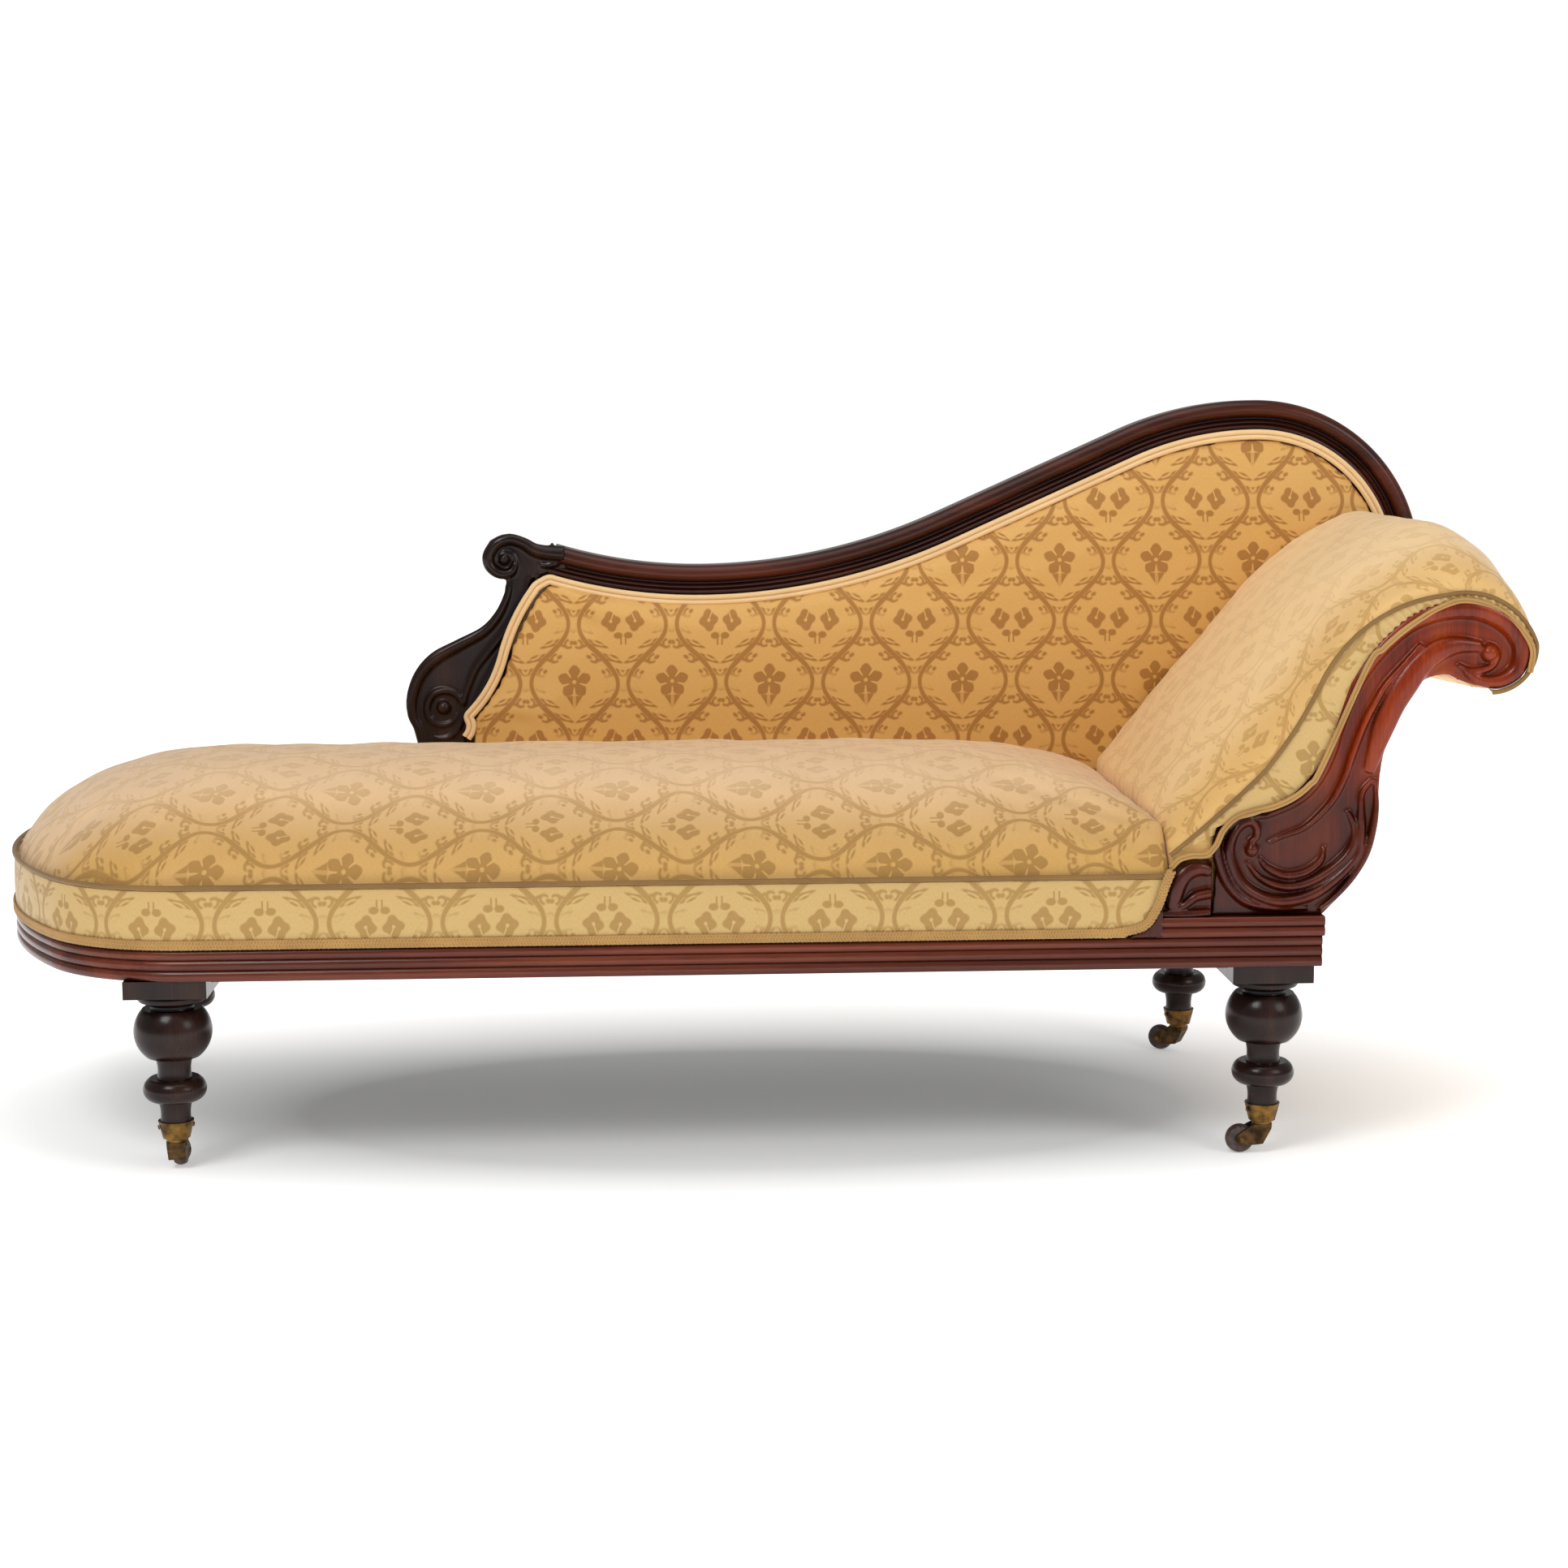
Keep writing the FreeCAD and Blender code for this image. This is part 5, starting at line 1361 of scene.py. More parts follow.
@dataclass
class Frame:
    """Rails, plinth, legs and hidden timbers: carried over from the frame, with their finishes."""

    stock: Stock

    def build(self) -> None:
        """Finishes every timber that shows or hides."""
        self.stock.dress(RAIL_WOOD, ("front_rail", "rear_rail", "head_plinth_front", "foot_end_rail"))
        self.stock.dress(CROSS_WOOD, ("head_end_rail",))
        self.stock.dress(LEG_WOOD, [f"leg_{place}" for place in PLACES])
        hidden = ("stay_rail", "corner_blocks", "head_scroll_rear", "head_top_rail", "head_lower_rail")
        self.stock.dress(BEECH, (*hidden, "back_head_upright", "back_lower_rail"))


@dataclass
class Casters:
    """Brass cup casters with wooden wheels."""

    stock: Stock

    def build(self) -> None:
        """Finishes the four casters."""
        for place in PLACES:
            self.stock.dress(BRASS, (f"caster_cup_{place}", f"caster_axle_{place}"))
            self.stock.dress(IRON, (f"caster_fork_{place}",))
            self.stock.dress(WHEEL, (f"caster_wheel_{place}",))
        self.stock.dress(BRASS, ("cup_screws",))


@dataclass
class Springing:
    """What carries the seat: webbing, springs, canvas and the dust cover below them."""

    stock: Stock
    cover_z: float = 228.6
    cover_inset: float = 16.0
    cover_thick: float = 0.8
    leg_clear: float = 51.0
    cover_flat: tuple[float, float] = (1.534, 0.588)
    leg_axes: tuple[tuple[float, float], ...] = (
        (-665.0, -257.0),
        (600.0, -257.0),
        (-735.0, 257.0),
        (600.0, 257.0),
    )

    def build(self) -> None:
        """Finishes the springing and stretches the dust cover."""
        self.stock.dress(JUTE, ("webbing_crosswise", "webbing_lengthwise", "back_webbing"))
        self.stock.dress(HESSIAN, ("spring_canvas",))
        self.stock.dress(STEEL, ("seat_springs",))
        self.dust_cover()

    def dust_cover(self) -> None:
        """The black cloth tacked under the rails, cut round the legs."""
        plan = PLAN.line(self.cover_inset, 655 - self.cover_inset)
        shape = bmesh.new()
        verts = [shape.verts.new(Vector((x, y, self.cover_z)) * MM) for x, y in plan]
        shape.faces.new(verts)
        bmesh.ops.triangulate(shape, faces=shape.faces)
        made = bmesh.ops.extrude_face_region(shape, geom=shape.faces[:])
        top = [item for item in made["geom"] if isinstance(item, bmesh.types.BMVert)]
        bmesh.ops.translate(shape, verts=top, vec=Vector((0, 0, self.cover_thick)) * MM)
        bmesh.ops.recalc_face_normals(shape, faces=shape.faces)
        mesh = to_mesh(shape, "dust_sheet")
        for x, y in self.leg_axes:
            low = (x - self.leg_clear, y - self.leg_clear, self.cover_z - 5)
            high = (x + self.leg_clear, y + self.leg_clear, self.cover_z + 5)
            mesh = cut_away(mesh, keep_box(low, high, "notch"), "dust_sheet")
        piece = finish_piece(mesh, "dust_sheet", self.stock.get(BLACK_LINING))
        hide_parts("dust_cover")


@dataclass
class Seat:
    """The sprung seat: boxing, crowned top, piping and plaited gimp."""

    stock: Stock
    crown: float = 116.0
    crown_reach: float = 250.0
    boxing_low: float = 268.0
    boxing_top: float = 335.0
    boxing_end: float = 474.0
    rear_start: float = -442.0
    neck: float = 7.0
    flower_in: float = 26.0
    flower_along: float = 319.0
    boxing_flower: float = -703.0
    boxing_flower_up: float = 37.5
    cord_radius: float = 3.0
    gimp_z: float = 274.0
    gimp_half: float = 6.2
    gimp_pitch: float = 11.0
    gimp_radius: float = 1.9

    def build(self) -> None:
        """Makes the seat's pieces."""
        self.top()
        self.boxing()
        self.piping()
        self.gimp()

    def top(self) -> None:
        """The crowned top, swollen by its stuffing and faded where people sat."""
        rings = []
        shelf = PIPING_Z - 4
        levels = (0.0, 0.02, 0.05, 0.09, 0.14, 0.2, 0.27, 0.35, 0.44, 0.54, 0.65, 0.78, 1.0)
        for level in levels:
            inset = self.neck + level * self.crown_reach
            end = HEAD.seam + 45 - level * self.crown_reach
            ring = evenly(PLAN.line(inset, end, soft=True), 220)
            height = shelf + 4 + (self.crown - 3) * crown_rise(level) if level else shelf + 2
            rings.append([Vector((x, y, height)) * MM for x, y in ring])
        low = [Vector((p.x, p.y, (shelf - 6) * MM)) for p in rings[0]]
        mesh = loft([low, *rings], "seat_top")
        foot = BACK.foot(-127, 0)[0]
        reach = 900.0
        cuts = (
            ((HEAD.seam - 0.4, -reach, 0), (reach, reach, reach)),
            ((foot, SEAT_BACK, 0), (reach, reach, reach)),
            ((foot - 79, 247.0, 0), (foot + 1, reach, reach)),
        )
        for low_corner, high_corner in cuts:
            mesh = cut_away(mesh, keep_box(low_corner, high_corner, "room"), "seat_top")
        held = np.array(
            [
                (-1000, 1000, -400, 400, 0, 337),
                (470, 1000, -400, 400, 0, 700),
                (-1000, 1000, 219, 400, 0, 700),
            ],
            float,
        )
        mesh = stuffed(mesh, "seat_top", held, Stuffing(voxel=8.5, pressure=2.5, cap=5.0))
        ruffled(mesh, 1.6, 190.0)
        map_cloth(mesh, self.top_cloth)
        piece = finish_piece(mesh, "seat_top", self.stock.get(SEAT_TOP_CLOTH))
        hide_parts("seat_cover", "seat_stuffing")

    def top_cloth(self, points: np.ndarray) -> np.ndarray:
        """The cloth lies with its length along the couch; it is worn on top and by the edge less."""
        x, y, z = points.T
        across = cloth_over_crown(y - PLAN.front, self.neck, self.crown_reach, self.crown)
        along = cloth_over_crown(x - PLAN.foot, self.neck, self.crown_reach, self.crown)
        worn = eased(across, 55, 210) * 0.75 + eased(z, 350, 430) * 0.3
        return np.column_stack([across - self.flower_in, along - self.flower_along, worn])

    def boxing(self) -> None:
        """The upright band between rail and piping, slightly bellied."""
        line = np.array(PLAN.line(0, self.boxing_end, self.rear_start))
        low, high = self.boxing_low, self.boxing_top
        belly = [(2.4 - 1.6 * math.sin(math.pi * s), low + (high - low) * s) for s in np.linspace(1, 0, 9)]
        profile = [(12.0, low), (12.0, high), *belly]
        mesh = sweep(profile, level_stations(line, 0.0), "seat_boxing", sharp=60.0)
        ear = [(418, 262), (428, 269), (446, 279), (458, 292), (466, 310), (472, 328), (476, 345)]
        ear += [(505, 345), (505, 262)]
        mesh = cut_away(mesh, slab(ear, -330, -280, "ear"), "seat_boxing")
        self.shift_cloth(mesh, self.boxing_flower, self.boxing_flower_up)
        piece = finish_piece(mesh, "seat_boxing", self.stock.get(BOXING_CLOTH))

    @staticmethod
    def shift_cloth(mesh: bpy.types.Mesh, along: float, up: float) -> None:
        """Moves the cloth on a piece, so that the flowers sit as they do on the couch."""
        layer = mesh.uv_layers["cloth"]
        for loop in layer.data:
            loop.uv = (loop.uv[0] + along * MM, loop.uv[1] - up * MM)

    def piping(self) -> None:
        """The covered cord on the seat's upper edge."""
        line = np.array(PLAN.line(2.2, HEAD.seam - 1.5, self.rear_start))
        mesh = sweep(circle(self.cord_radius, 12), level_stations(line, PIPING_Z - 1), "seat_piping_cord")
        piece = finish_piece(mesh, "seat_piping_cord", self.stock.get(PIPE_CLOTH))
        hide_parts("seat_piping")

    def gimp(self) -> None:
        """Three plaited strands along the rail, turning up at the ear."""
        plan = np.array(PLAN.line(-0.2, 424.0, self.rear_start))[::-1]
        flat = [(x, y, self.gimp_z) for x, y in plan]
        rise = [(446, -310.6, 281), (458, -311.5, 295), (465, -312.2, 310), (471, -312.4, 328)]
        rise += [(478, -312.4, 346)]
        line = smooth_route(flat[::3] + rise, 900)
        sizes = (self.gimp_half, self.gimp_pitch, self.gimp_radius)
        strands = [plait(line, strand, *sizes) for strand in range(3)]
        mesh = merged(strands, "seat_gimp_plait")
        piece = finish_piece(mesh, "seat_gimp_plait", self.stock.get(GIMP_CLOTH))
        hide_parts("seat_gimp")


def smooth_route(points: Sequence[Sequence[float]], count: int) -> np.ndarray:
    """A smooth, evenly spaced line through points in space."""
    return evenly(through(points, 8), count)


def plait(line: np.ndarray, strand: int, half: float, pitch: float, radius: float) -> bpy.types.Mesh:
    """One strand of a flat plait that stands on edge against a face.

    Args:
        line: the middle of the plait, in millimetres.
        strand: which strand, 0 to 2.
        half: half the width that the strand's middle swings over, less its radius.
        pitch: length of one crossing.
        radius: half thickness of the strand.

    Returns:
        The strand's mesh.
    """
    reach = run_lengths(line)
    count = int(reach[-1] / pitch * 8)
    wanted = np.linspace(0, reach[-1], count)
    middle = np.column_stack([np.interp(wanted, reach, line[:, axis]) for axis in range(3)])
    phase = wanted / pitch * 2 * math.pi + strand * 2 * math.pi / 3
    ahead = np.gradient(middle, axis=0)
    ahead /= np.linalg.norm(ahead, axis=1, keepdims=True)
    out = np.cross(ahead, np.array([0.0, 0.0, 1.0]))
    level = np.linalg.norm(out, axis=1, keepdims=True)
    out = np.where(level > 0.5, out / np.maximum(level, 1e-6), np.array([[0.0, -1.0, 0.0]]))
    side = np.cross(out, ahead)
    swing, lift = np.sin(phase) * (half - radius), np.sin(2 * phase) * 0.5
    path = middle + side * swing[:, None] + out * lift[:, None]
    rings = []
    for at in range(count):
        run = Vector(path[min(at + 1, count - 1)] - path[max(at - 1, 0)]).normalized()
        across = run.cross(Vector(out[at])).normalized()
        up = across.cross(run)
        rings.append([(Vector(path[at]) + across * x + up * y * 0.7) * MM for x, y in circle(radius, 6)])
    return loft(rings, "strand")


@dataclass
class HeadRest:
    """The rolled head rest: stuffed cover, ruched side, piping, welt, carved scroll and ear."""

    stock: Stock
    front: float = -301.0
    rear: float = 225.4
    face: float = -297.0
    board_back: float = -282.0
    before: float = -320.0
    foot: float = 300.2
    pleat: float = 9.5
    pleat_depth: float = 1.1
    cord_radius: float = 2.8
    welt_radius: float = 1.9
    reach: float = 250.0
    crown: float = 95.0

    def build(self) -> None:
        """Makes the head rest's pieces."""
        self.cover()
        self.border()
        self.piping()
        self.welt()
        self.scroll()
        self.ear()

    def cover(self) -> None:
        """The stuffed roll from its front piping to the back."""
        rings = []
        low = self.foot
        for level in (0, 0.03, 0.08, 0.16, 0.27, 0.38, 0.52, 0.68, 0.84, 1.0, 1.45):
            swell = crown_rise(level) if level <= 1 else 0.99
            ring = evenly(bowed(HEAD.rest(swell, low), closed=True), 260, closed=True)
            y = self.front + 1 + level * self.reach
            rings.append([Vector((x, y, z)) * MM for x, z in ring])
        last = evenly(bowed(HEAD.rest(0.98, low), closed=True), 260, closed=True)
        rings.append([Vector((x, self.rear, z)) * MM for x, z in last])
        mesh = loft(rings, "head_rest")
        board = bowed(HEAD.board(HEAD.plinth_top), closed=True)
        behind = self.board_back + 0.4
        mesh = cut_away(mesh, slab(board, self.before, behind, "room"), "head_rest")
        ear = [(463, 260), (463, 292), (472, 325), (489, 353), (510, 357), (560, 357), (560, 260)]
        mesh = cut_away(mesh, slab(ear, self.before, behind, "room"), "head_rest")
        held = np.array(
            [
                (0, 1000, -400, -288, 0, 1000),
                (0, 1000, 216, 400, 0, 1000),
                (0, 1000, -400, 400, 0, 320),
                (0, 488, -400, 400, 0, 1000),
            ],
            float,
        )
        mesh = stuffed(mesh, "head_rest", held, Stuffing(voxel=8.0, pressure=2.5, cap=5.0))
        ruffled(mesh, 1.2, 170.0)
        map_cloth(mesh, self.cloth)
        piece = finish_piece(mesh, "head_rest", self.stock.get(HEAD_CLOTH))
        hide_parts("head_cover", "head_stuffing", "outside_head_cover")

    def cloth(self, points: np.ndarray) -> np.ndarray:
        """The cloth runs up from the seat over the roll; it is worn where heads lay."""
        line = np.array(bowed(HEAD.rest(0.7, 300), closed=True, step=4.0))
        _, y, z = points.T
        up = along_line(points[:, [0, 2]], line)
        across = cloth_over_crown(y - self.front, 0.0, self.reach, self.crown)
        worn = eased(across, 45, 150) * 0.8 + eased(z, 380, 700) * 0.2
        return np.column_stack([across, up, worn])

    def border(self) -> None:
        """The side border between scroll and piping, gathered into small pleats round the roll."""
        inner = evenly(bowed(HEAD.board(HEAD.plinth_top)[1:8]), 620)
        outer = evenly(bowed(HEAD.rest(0, 300)[1:7]), 620)
        reach = run_lengths(outer)
        rings = []
        count = 12
        for at in range(len(inner)):
            share = reach[at] / reach[-1]
            gather = float(eased(np.array(share), 0.42, 0.6))
            turn = reach[at] / self.pleat * 2 * math.pi + 0.7 * math.sin(reach[at] * 0.11)
            wave = math.sin(turn) * self.pleat_depth * gather
            start = Vector((inner[at][0], 0, inner[at][1]))
            end = Vector((outer[at][0], 0, outer[at][1]))
            ring = []
            for piece in range(count + 1):
                part = piece / count
                point = start.lerp(end, part)
                belly = math.sin(math.pi * part)
                point.y = self.front - 1.6 - 2.2 * belly - wave * belly**0.5
                ring.append(point * MM)
            for part in (1.0, 0.5, 0.0):
                point = start.lerp(end, part)
                point.y = self.front + 3
                ring.append(point * MM)
            rings.append(ring)
        mesh = loft(rings, "head_border")
        map_cloth(mesh, self.border_cloth)
        piece = finish_piece(mesh, "head_border", self.stock.get(BOXING_CLOTH))

    @staticmethod
    def border_cloth(points: np.ndarray) -> np.ndarray:
        """The border's cloth hangs upright."""
        x, _, z = points.T
        return np.column_stack([x, z, eased(z, 380, 640) * 0.9])

    def piping(self) -> None:
        """The cord on the front edge of the cover."""
        line = evenly(bowed(HEAD.rest(0, 300)[1:7], step=3.0), 260)
        stations = upright_stations(line, self.front - 2.4)
        mesh = sweep(circle(self.cord_radius, 12), stations, "head_piping_cord")
        piece = finish_piece(mesh, "head_piping_cord", self.stock.get(PIPE_CLOTH))
        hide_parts("head_piping")

    def welt(self) -> None:
        """The thin double cord that covers the tacks beside the carving."""
        points = [(478, 348), (488, 358), (502, 362), (519, 363)]
        points += [(530, 374), (538, 391), (552, 405), (571, 412)]
        points += [(594, 417), (617, 427), (636, 442), (650, 463)]
        scroll = evenly(bowed(HEAD.board(HEAD.plinth_top)[4:8], step=4.0), 14)
        away = [tuple(point) for point in shifted(scroll, -2.2)]
        line = smooth_line(points + away[1:-2], 420)
        stations = upright_stations(line[:, :2], self.front - 6.6)
        sides = (-1.7, 1.7)
        cords = [sweep(circle(self.welt_radius, 10, x=side), stations, "cord") for side in sides]
        mesh = merged(cords, "head_welt")
        piece = finish_piece(mesh, "head_welt", self.stock.get(GIMP_CLOTH))
        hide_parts("head_gimp")

    def scroll(self) -> None:
        """The carved S scroll with its volute, its great C scroll and their eyes."""
        y = self.face
        forms = [slab(bowed(HEAD.board(HEAD.plinth_top), closed=True), y, self.board_back, "board")]
        for points, radii, flat in self.ribs():
            forms.append(stroke(tapered(points, radii), y - 1, flat))
        for x, z, radius in ((842, 591, 10), (573, 367, 7.5)):
            forms.append(ball(x, y - 2, z, radius, 1.0))
        mesh = carved(forms, "head_scroll", 1.7, 2)
        piece = finish_piece(mesh, "head_scroll", self.stock.get(CARVED_WOOD))
        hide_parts("head_scroll_front")

    @staticmethod
    def ribs() -> list[tuple[list[tuple[float, float]], tuple[float, ...], float]]:
        """The ribs of the carving: (x, z) points, half widths and relief."""
        bead = [(592, 408), (616, 418), (635, 431), (651, 452)]
        bead += [(663, 480), (669, 504), (678, 531), (690, 559)]
        bead += [(708, 586), (730, 610), (754, 628), (784, 639)]
        bead += [(815, 642), (842, 636), (864, 622), (877, 603)]
        bead += [(879, 585), (873, 570), (860, 560), (845, 557), (829, 561), (815, 571)]
        ridge = [(763, 601), (742, 577), (724, 556), (711, 534)]
        ridge += [(699, 510), (687, 477), (678, 449), (666, 425)]
        ridge += [(651, 407), (632, 391), (608, 382), (592, 374)]
        band = [(832, 598), (806, 600), (784, 594), (763, 578)]
        band += [(747, 556), (733, 532), (722, 506), (713, 478)]
        band += [(706, 455)]
        great = [(711, 447), (699, 431), (698, 410), (699, 388)]
        great += [(695, 361), (675, 337), (644, 315), (614, 307)]
        great += [(587, 311), (562, 327), (549, 352), (547, 373)]
        great += [(556, 393), (570, 400), (578, 393), (578, 382)]
        great += [(570, 375)]
        rim = [(591, 406), (568, 405), (549, 400), (536, 387)]
        rim += [(532, 370), (537, 348), (548, 325), (568, 307)]
        rim += [(602, 299), (638, 299)]
        leaf = [(683, 410), (691, 391), (689, 370), (672, 349)]
        leaf += [(641, 329), (611, 324), (584, 334), (568, 352)]
        crescent = [(657, 369), (652, 353), (634, 340), (611, 337), (591, 346), (581, 358)]
        outer = [(714, 446), (716, 419), (713, 391), (705, 361), (689, 333), (669, 310), (652, 297)]
        inner = [(806, 577), (818, 571), (833, 571), (846, 577), (851, 588), (847, 597), (838, 601)]
        return [
            (bead, (4.0, 6.0, 9.0, 12.5, 10.0, 5.0), 1.05),
            (ridge, (2.5, 4.2, 4.2, 3.4, 1.5), 1.6),
            (band, (6.0, 13.0, 15.0, 13.0, 6.0), 0.62),
            (great, (2.0, 5.0, 7.0, 6.5, 5.0, 3.5), 1.5),
            (rim, (2.5, 5.0, 6.0, 5.5, 2.5), 1.4),
            (leaf, (2.0, 5.0, 6.0, 4.5, 1.5), 1.5),
            (crescent, (1.5, 4.2, 5.0, 4.0, 1.2), 1.6),
            (outer, (1.8, 4.2, 4.8, 4.2, 2.5), 1.7),
            (inner, (2.5, 4.0, 3.6, 1.8), 1.5),
        ]

    def ear(self) -> None:
        """The small ear at the foot of the scroll, with the wood that runs down to the rail."""
        outline = [(428, 268.2), (448, 278), (461, 292), (468, 312), (476, 334), (490, 351), (508, 357)]
        outline += [(527.4, 354), (527.4, 291), (463.5, 291)]
        tail = [(430, 268.2), (447, 276), (459, 288), (464.5, 300), (470, 300), (470, 268.2)]
        forms = [slab(outline[2:10], self.face - 3, self.board_back, "ear")]
        rim = [(526, 343), (512, 347), (497, 342), (487, 328), (483, 312), (480, 300)]
        leaf = [(478, 297), (494, 303), (508, 314), (526, 318)]
        toe = [(468, 293), (500, 293), (526, 295)]
        forms.append(stroke(tapered(rim, (6.0, 9.5, 10.5, 10.0, 6.0)), self.face - 4, 0.9))
        forms.append(stroke(tapered(leaf, (3.0, 5.5, 6.0)), self.face - 4, 1.3))
        forms.append(stroke(tapered(toe, (5.0, 6.0, 5.0)), self.face - 4, 1.0))
        forms.append(slab(tail, -312.0, -309.0, "foot"))
        mesh = carved(forms, "head_ear", 1.4, 3)
        piece = finish_piece(mesh, "head_ear", self.stock.get(CARVED_WOOD))
        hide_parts("ear_bracket")


def tapered(
    points: Sequence[tuple[float, float]], radii: Sequence[float]
) -> list[tuple[float, float, float]]:
    """Spreads a few half widths over the points of a rib."""
    places = np.linspace(0, 1, len(points))
    widths = np.interp(places, np.linspace(0, 1, len(radii)), radii)
    return [(x, z, float(r)) for (x, z), r in zip(points, widths)]


def shifted(line: np.ndarray, side: float) -> np.ndarray:
    """A line moved to the right of its travel by side."""
    run = np.gradient(line, axis=0)
    run /= np.linalg.norm(run, axis=1, keepdims=True)
    return line + np.column_stack([run[:, 1], -run[:, 0]]) * side


@dataclass
class Back:
    """The half back: moulded serpentine rail, carved foot support, padding, welt and outside cloth."""

    stock: Stock
    show: float = 248.0
    rear: float = 298.0
    pad_front: float = 227.0
    ledge: float = 256.0
    flower_x: float = 43.4
    flower_z: float = 513.0
    welt_y: float = 244.5
    welt_radius: float = 3.4
    welt_end: float = 893.0
    outside_flat: tuple[float, float] = (1.33, 0.61)

    def build(self) -> None:
        """Makes the back's pieces."""
        self.rail()
        self.support()
        self.pad()
        self.welt()
        self.outside()

    def rail(self) -> None:
        """The serpentine rail: round outer member, hollow, and a thin inner bead."""
        line = evenly(bowed(BACK.top(0), step=3.0), 420)
        front = self.rear - self.show
        profile = [(-1.5, 0), (0, 3), (0, front - 14)]
        for degrees in range(0, 181, 15):
            angle = math.radians(degrees)
            profile.append((-11.5 + 11.5 * math.cos(angle), front - 12 + 12 * math.sin(angle)))
        profile += [(-24.5, front - 12), (-26.5, front - 8.5), (-29.5, front - 7), (-32, front - 8.5)]
        for degrees in range(0, 181, 30):
            angle = math.radians(degrees)
            profile.append((-36 + 4 * math.cos(angle), front - 8 + 4.5 * math.sin(angle)))
        profile += [(-40, front - 14), (-51, front - 14), (-51, 0)]
        mesh = sweep(list(reversed(profile)), upright_stations(line, self.rear), "back_rail", sharp=45.0)
        piece = finish_piece(mesh, "back_rail", self.stock.get(SHOW_WOOD))
        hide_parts("back_top_rail")

    def support(self) -> None:
        """The carved S support with its two volutes, leaf cuff and nib."""
        y = self.show + 8
        cap = [(-262, 683), (-285, 697), (-305, 706), (-322, 700), (-331, 681), (-326, 662), (-308, 651)]
        cap += [(-290, 650), (-262, 652), (-222, 662), (-222, 690), (-240, 686)]
        forms = [
            slab(bowed(BACK.support(), closed=True), y, self.rear - 0.3, "board"),
            slab(cap, y, self.rear - 0.3, "cap"),
        ]
        for points, radii, flat in self.ribs():
            forms.append(stroke(tapered(points, radii), y, flat))
        forms.append(ball(-303, y - 1, 676, 7.5, 1.0))
        forms.append(ball(-386, y - 1, 481, 9.0, 1.0))
        mesh = carved(forms, "back_support", 1.8, 2)
        piece = finish_piece(mesh, "back_support", self.stock.get(LEG_WOOD))
        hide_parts("back_foot_scroll")

    @staticmethod
    def ribs() -> list[tuple[list[tuple[float, float]], tuple[float, ...], float]]:
        """The ribs of the carving: (x, z) points, half widths and relief."""
        rim = [(-224, 682), (-246, 684), (-263, 688), (-278, 697), (-296, 702), (-313, 696), (-324, 680)]
        rim += [(-321, 665), (-308, 656), (-294, 659), (-288, 671)]
        spiral = [(-288, 671), (-293, 682), (-303, 686), (-312, 681), (-314, 672)]
        nib = [(-246, 684), (-239, 697)]
        cuff = [(-256, 668), (-238, 669), (-222, 680)]
        left = [(-298, 651), (-299, 633), (-311, 605), (-331, 582)]
        left += [(-363, 564.5), (-396, 546.5), (-417, 524)]
        left += [(-428, 495), (-428, 470), (-420, 450), (-414, 420)]
        middle = [(-301, 641), (-305, 618), (-327, 588), (-357, 567), (-390, 546)]
        ridge = [(-271, 650), (-278, 624), (-301, 585), (-326, 554), (-343, 532), (-355, 504), (-361, 484)]
        right = [(-259, 653), (-271, 620), (-289, 585), (-309, 551), (-329, 517), (-346, 482), (-355, 448)]
        ring = [(-361, 484), (-369, 497), (-384, 503), (-400, 498), (-408, 482), (-405, 466), (-391, 457)]
        ring += [(-376, 461), (-368, 472)]
        lower = [(-360, 470), (-368, 452), (-382, 440), (-400, 440)]
        return [
            (rim, (11.0, 9.0, 7.0, 8.0, 8.0, 6.5, 4.0), 1.0),
            (spiral, (3.0, 3.5, 2.0), 0.9),
            (nib, (4.0, 1.8), 1.0),
            (cuff, (3.0, 4.5, 2.0), 1.0),
            (left, (3.5, 6.0, 8.5, 7.0, 4.0), 0.85),
            (middle, (2.0, 3.5, 3.5, 1.5), 0.8),
            (ridge, (2.0, 4.0, 4.5, 4.0, 3.0), 0.9),
            (right, (2.0, 3.5, 4.0, 3.5, 3.0), 0.9),
            (ring, (3.0, 4.5, 4.5, 3.5, 2.0), 1.0),
            (lower, (2.0, 4.0, 2.5), 0.8),
        ]

    def pad(self) -> None:
        """The padding, crowned in front of its frame and damasked with the clearest pattern."""
        edge = evenly(BACK.padding(8.0, HEAD), 320, closed=True)
        middle = (edge.min(axis=0) + edge.max(axis=0)) / 2
        half = np.ptp(edge, axis=0) / 2
        rings = [[Vector((x, self.ledge - 1.8, z)) * MM for x, z in edge]]
        depth = self.ledge - self.pad_front
        for share in (0.2, 0.4, 0.6, 0.78, 0.9, 0.97, 1.0):
            inset = 90 * (1 - (1 - share**2.2) ** 0.5)
            scaled = middle + (edge - middle) * (1 - inset / half)
            y = self.ledge - 1.8 - depth * share * 0.93
            rings.append([Vector((x, y, z)) * MM for x, z in scaled])
        mesh = loft(rings, "back_pad")
        held = np.array([(-1000, 1000, 246, 300, 0, 1000)], float)
        mesh = stuffed(mesh, "back_pad", held, Stuffing(voxel=7.5, pressure=2.0, cap=3.0))
        map_cloth(mesh, self.cloth)
        piece = finish_piece(mesh, "back_pad", self.stock.get(BACK_CLOTH))
        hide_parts("back_cover", "back_stuffing")

    def cloth(self, points: np.ndarray) -> np.ndarray:
        """The cloth hangs upright, a flower in the middle of each cell."""
        x, _, z = points.T
        return np.column_stack([x - self.flower_x, z - self.flower_z, np.full(len(x), 0.6)])

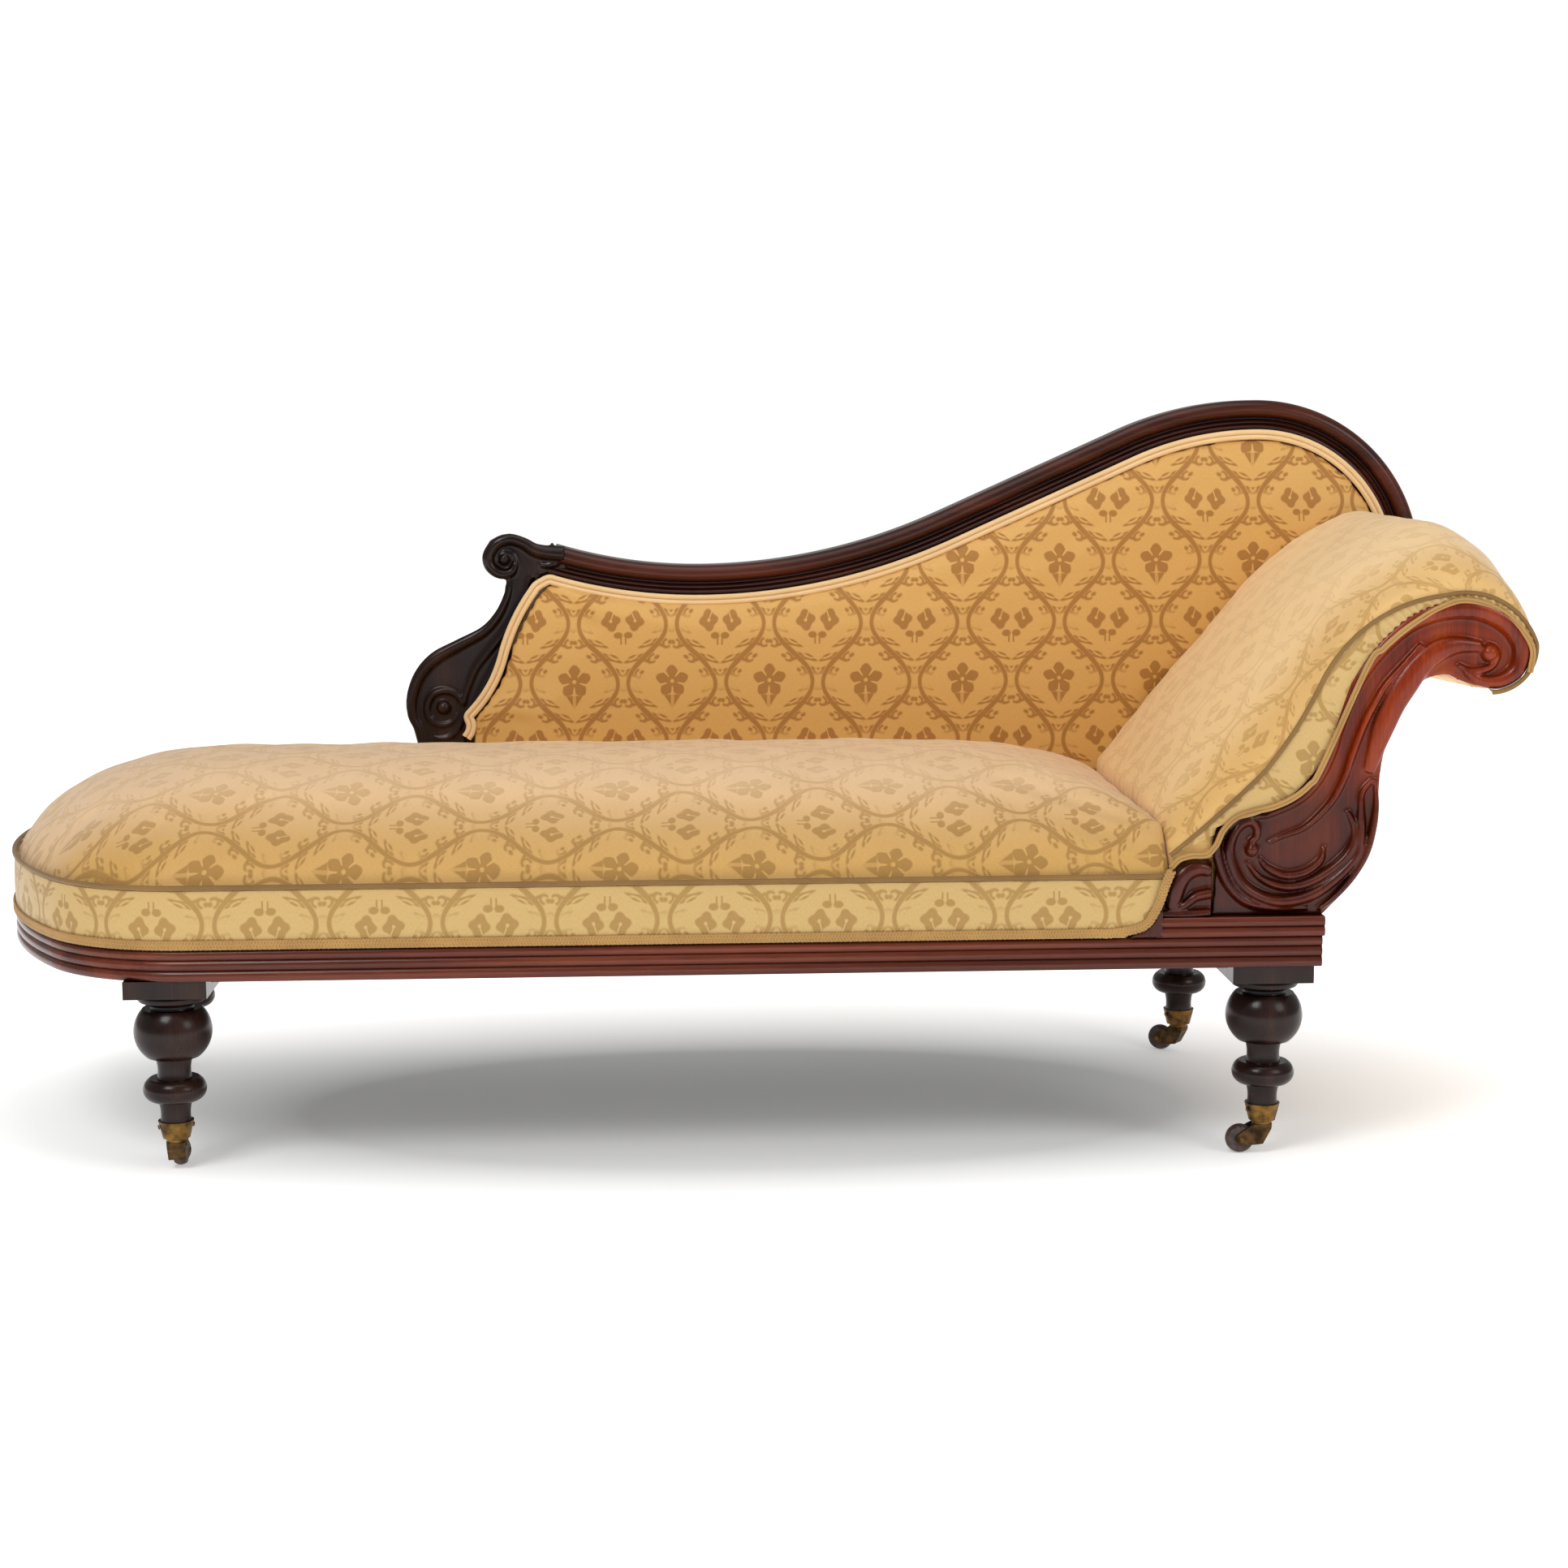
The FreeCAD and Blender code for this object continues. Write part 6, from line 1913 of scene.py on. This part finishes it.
    def welt(self) -> None:
        """The pale double cord between the padding and the show wood."""
        offset = 5.0
        foot = [
            BACK.foot(-121, 0.36, -5),
            BACK.foot(-118.4, 0.432, -6),
            BACK.foot(-72, 0.628, 6),
            BACK.foot(-21, 0.88),
        ]
        top = [point for point in bowed(BACK.top(BACK.band + offset)) if point[0] < self.welt_end]
        route = evenly(bowed(foot)[:-1] + top[1:], 150)
        line = smooth_line(route, 700)
        stations = upright_stations(line[:, :2], self.welt_y)
        sides = (-3.3, 3.3)
        cords = [sweep(circle(self.welt_radius, 12, x=side), stations, "cord") for side in sides]
        mesh = merged(cords, "back_welt")
        piece = finish_piece(mesh, "back_welt", self.stock.get(WELT_CLOTH))
        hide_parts("back_gimp")

    def outside(self) -> None:
        """The cloth tacked across the rear of the back."""
        foot = [
            (BACK.foot(-170, 0)[0], HEAD.rail_top, 0),
            BACK.foot(-170, 0, -8),
            BACK.foot(-189, 0.432, 12),
            BACK.foot(-161, 0.612, -12),
            BACK.foot(-69, 0.767, -4),
            BACK.foot(-55, 0.888),
        ]
        top = BACK.top(8)
        end = BACK.top(40)[-1]
        x, z = HEAD.volute_x, HEAD.volute_z
        head = [(end[0] + 10, end[1] - 1), (x - 5, z), (x - 45, z - 29), (x - 97, z - 59)]
        head += [(x - 122, z - 151), (x - 141, z - 251), (HEAD.frame_end - 2, HEAD.rail_top)]
        outline = bowed([*foot, *top]) + head[1:]
        mesh = slab(outline, self.rear + 0.2, self.rear + 1.4, "outside_back_sheet")
        piece = finish_piece(mesh, "outside_back_sheet", self.stock.get(OUTSIDE_CLOTH))
        for polygon in mesh.polygons:
            polygon.use_smooth = False
        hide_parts("outside_back_cover")


@dataclass
class Studio:
    """White floor and backdrop, soft light and the camera at the photograph's viewpoint."""

    eye: tuple[float, float, float] = (-113.0, -3381.0, 867.0)
    yaw: float = 2.783
    pitch: float = 7.719
    roll: float = 0.244
    focal_px: float = 3389.0
    frame_px: float = 1932.0
    sensor: float = 36.0
    # Reach and fade of the painted shadow that the floor's weaker glow leaves round the couch, and the
    # strength of that glow near the couch and further off.
    shadow_reach: float = 0.34
    shadow_fade: float = 0.6
    glow_near: float = 0.1
    glow_rise: float = 0.78
    sky_light: float = 0.4

    def build(self) -> None:
        """Makes floor, lights and camera."""
        self.floor()
        self.world()
        self.lamp("key", (-1.5, -2.4, 3.0), 1.3, 50.0)
        self.lamp("fill", (2.6, -2.4, 2.0), 1.4, 22.0)
        self.lamp("top", (0.2, -0.5, 3.2), 2.0, 22.0)
        self.camera()
        bpy.context.scene.view_settings.view_transform = "Standard"

    def floor(self) -> None:
        """A white paper floor that glows as painted light: the glow rises away from the couch, so the floor
        is white further off, while near the couch the weaker glow keeps the traced shadow and darkens the
        floor round it as a painted shadow.
        """
        shape = bmesh.new()
        bmesh.ops.create_grid(shape, x_segments=8, y_segments=8, size=12.0)
        mesh = to_mesh(shape, "paper_floor")
        material, tree, shader = principled("white_paper_floor")
        grit = add(tree, "ShaderNodeTexNoise", {"Scale": 3.0, "Detail": 2.0})
        papers = {"Factor": grit, 6: linear("#f4f4f3"), 7: linear("#f8f8f7")}
        tone = add(tree, "ShaderNodeMix", papers, data_type="RGBA")
        tree.links.new(tone.outputs[2], shader.inputs["Base Color"])
        shader.inputs["Roughness"].default_value = 0.9
        place = add(tree, "ShaderNodeTexCoord").outputs["Object"]
        split = add(tree, "ShaderNodeSeparateXYZ", [place])
        # Painted shadow: the floor glows less near the couch and more away from it.
        wide = Field(tree, split.outputs["X"]) * 0.62
        deep = Field(tree, split.outputs["Y"]) * 1.15
        far = (wide.hypot(deep) - self.shadow_reach) / self.shadow_fade
        kept = far.make("MAXIMUM", 0.0).make("MINIMUM", 1.0).make("POWER", 0.8)
        strength = kept * self.glow_rise + self.glow_near
        glow = add(tree, "ShaderNodeEmission", {"Color": linear("#ffffff"), "Strength": strength})
        both = add(tree, "ShaderNodeAddShader", [shader, glow])
        tree.links.new(both.outputs[0], tree.nodes["Material Output"].inputs["Surface"])
        mesh.materials.append(material)
        floor = bpy.data.objects.new("paper_floor", mesh)
        bpy.context.scene.collection.objects.link(floor)

    def world(self) -> None:
        """Even surroundings: white to the eye, moderate as light."""
        world = bpy.data.worlds.new("studio")
        bpy.context.scene.world = world
        world.use_nodes = True
        tree = world.node_tree
        tree.nodes.clear()
        path = add(tree, "ShaderNodeLightPath")
        through_glass = Field(tree, path.outputs["Is Transmission Ray"])
        seen = Field(tree, path.outputs["Is Camera Ray"]).union(through_glass)
        light = add(tree, "ShaderNodeBackground", {"Color": linear("#ffffff"), "Strength": self.sky_light})
        white = add(tree, "ShaderNodeBackground", {"Color": linear("#ffffff"), "Strength": 1.0})
        mixed = add(tree, "ShaderNodeMixShader", [seen, light, white])
        add(tree, "ShaderNodeOutputWorld", [mixed])

    def lamp(self, name: str, at: tuple[float, float, float], size: float, power: float) -> None:
        """A square soft box that faces the couch.

        Args:
            name: the lamp's name.
            at: its place in metres.
            size: its side in metres.
            power: its power in watts.
        """
        data = bpy.data.lights.new(name, "AREA")
        data.shape = "SQUARE"
        data.size = size
        data.energy = power
        lamp = bpy.data.objects.new(name, data)
        bpy.context.scene.collection.objects.link(lamp)
        lamp.location = at
        lamp.rotation_euler = (Vector((0, 0, 0.4)) - Vector(at)).to_track_quat("-Z", "Y").to_euler()

    def camera(self) -> None:
        """The camera of the photograph, turned down and right without shift."""
        data = bpy.data.cameras.new("camera")
        data.sensor_width = self.sensor
        data.lens = self.focal_px / self.frame_px * self.sensor
        camera = bpy.data.objects.new("camera", data)
        bpy.context.scene.collection.objects.link(camera)
        turn = Matrix.Rotation(math.radians(-self.yaw), 4, "Z")
        turn @= Matrix.Rotation(math.radians(90 - self.pitch), 4, "X")
        turn @= Matrix.Rotation(math.radians(-self.roll), 4, "Z")
        camera.matrix_world = Matrix.Translation(Vector(self.eye) * MM) @ turn
        bpy.context.scene.camera = camera


def main() -> None:
    """Builds the couch and its studio."""
    logging.basicConfig(level=logging.INFO, format="%(message)s")
    stock = Stock()
    Studio().build()
    for assembly in (Frame, Casters, Springing, Seat, HeadRest, Back):
        LOG.info("building %s", assembly.__name__)
        assembly(stock).build()


if __name__ == "__main__":
    main()
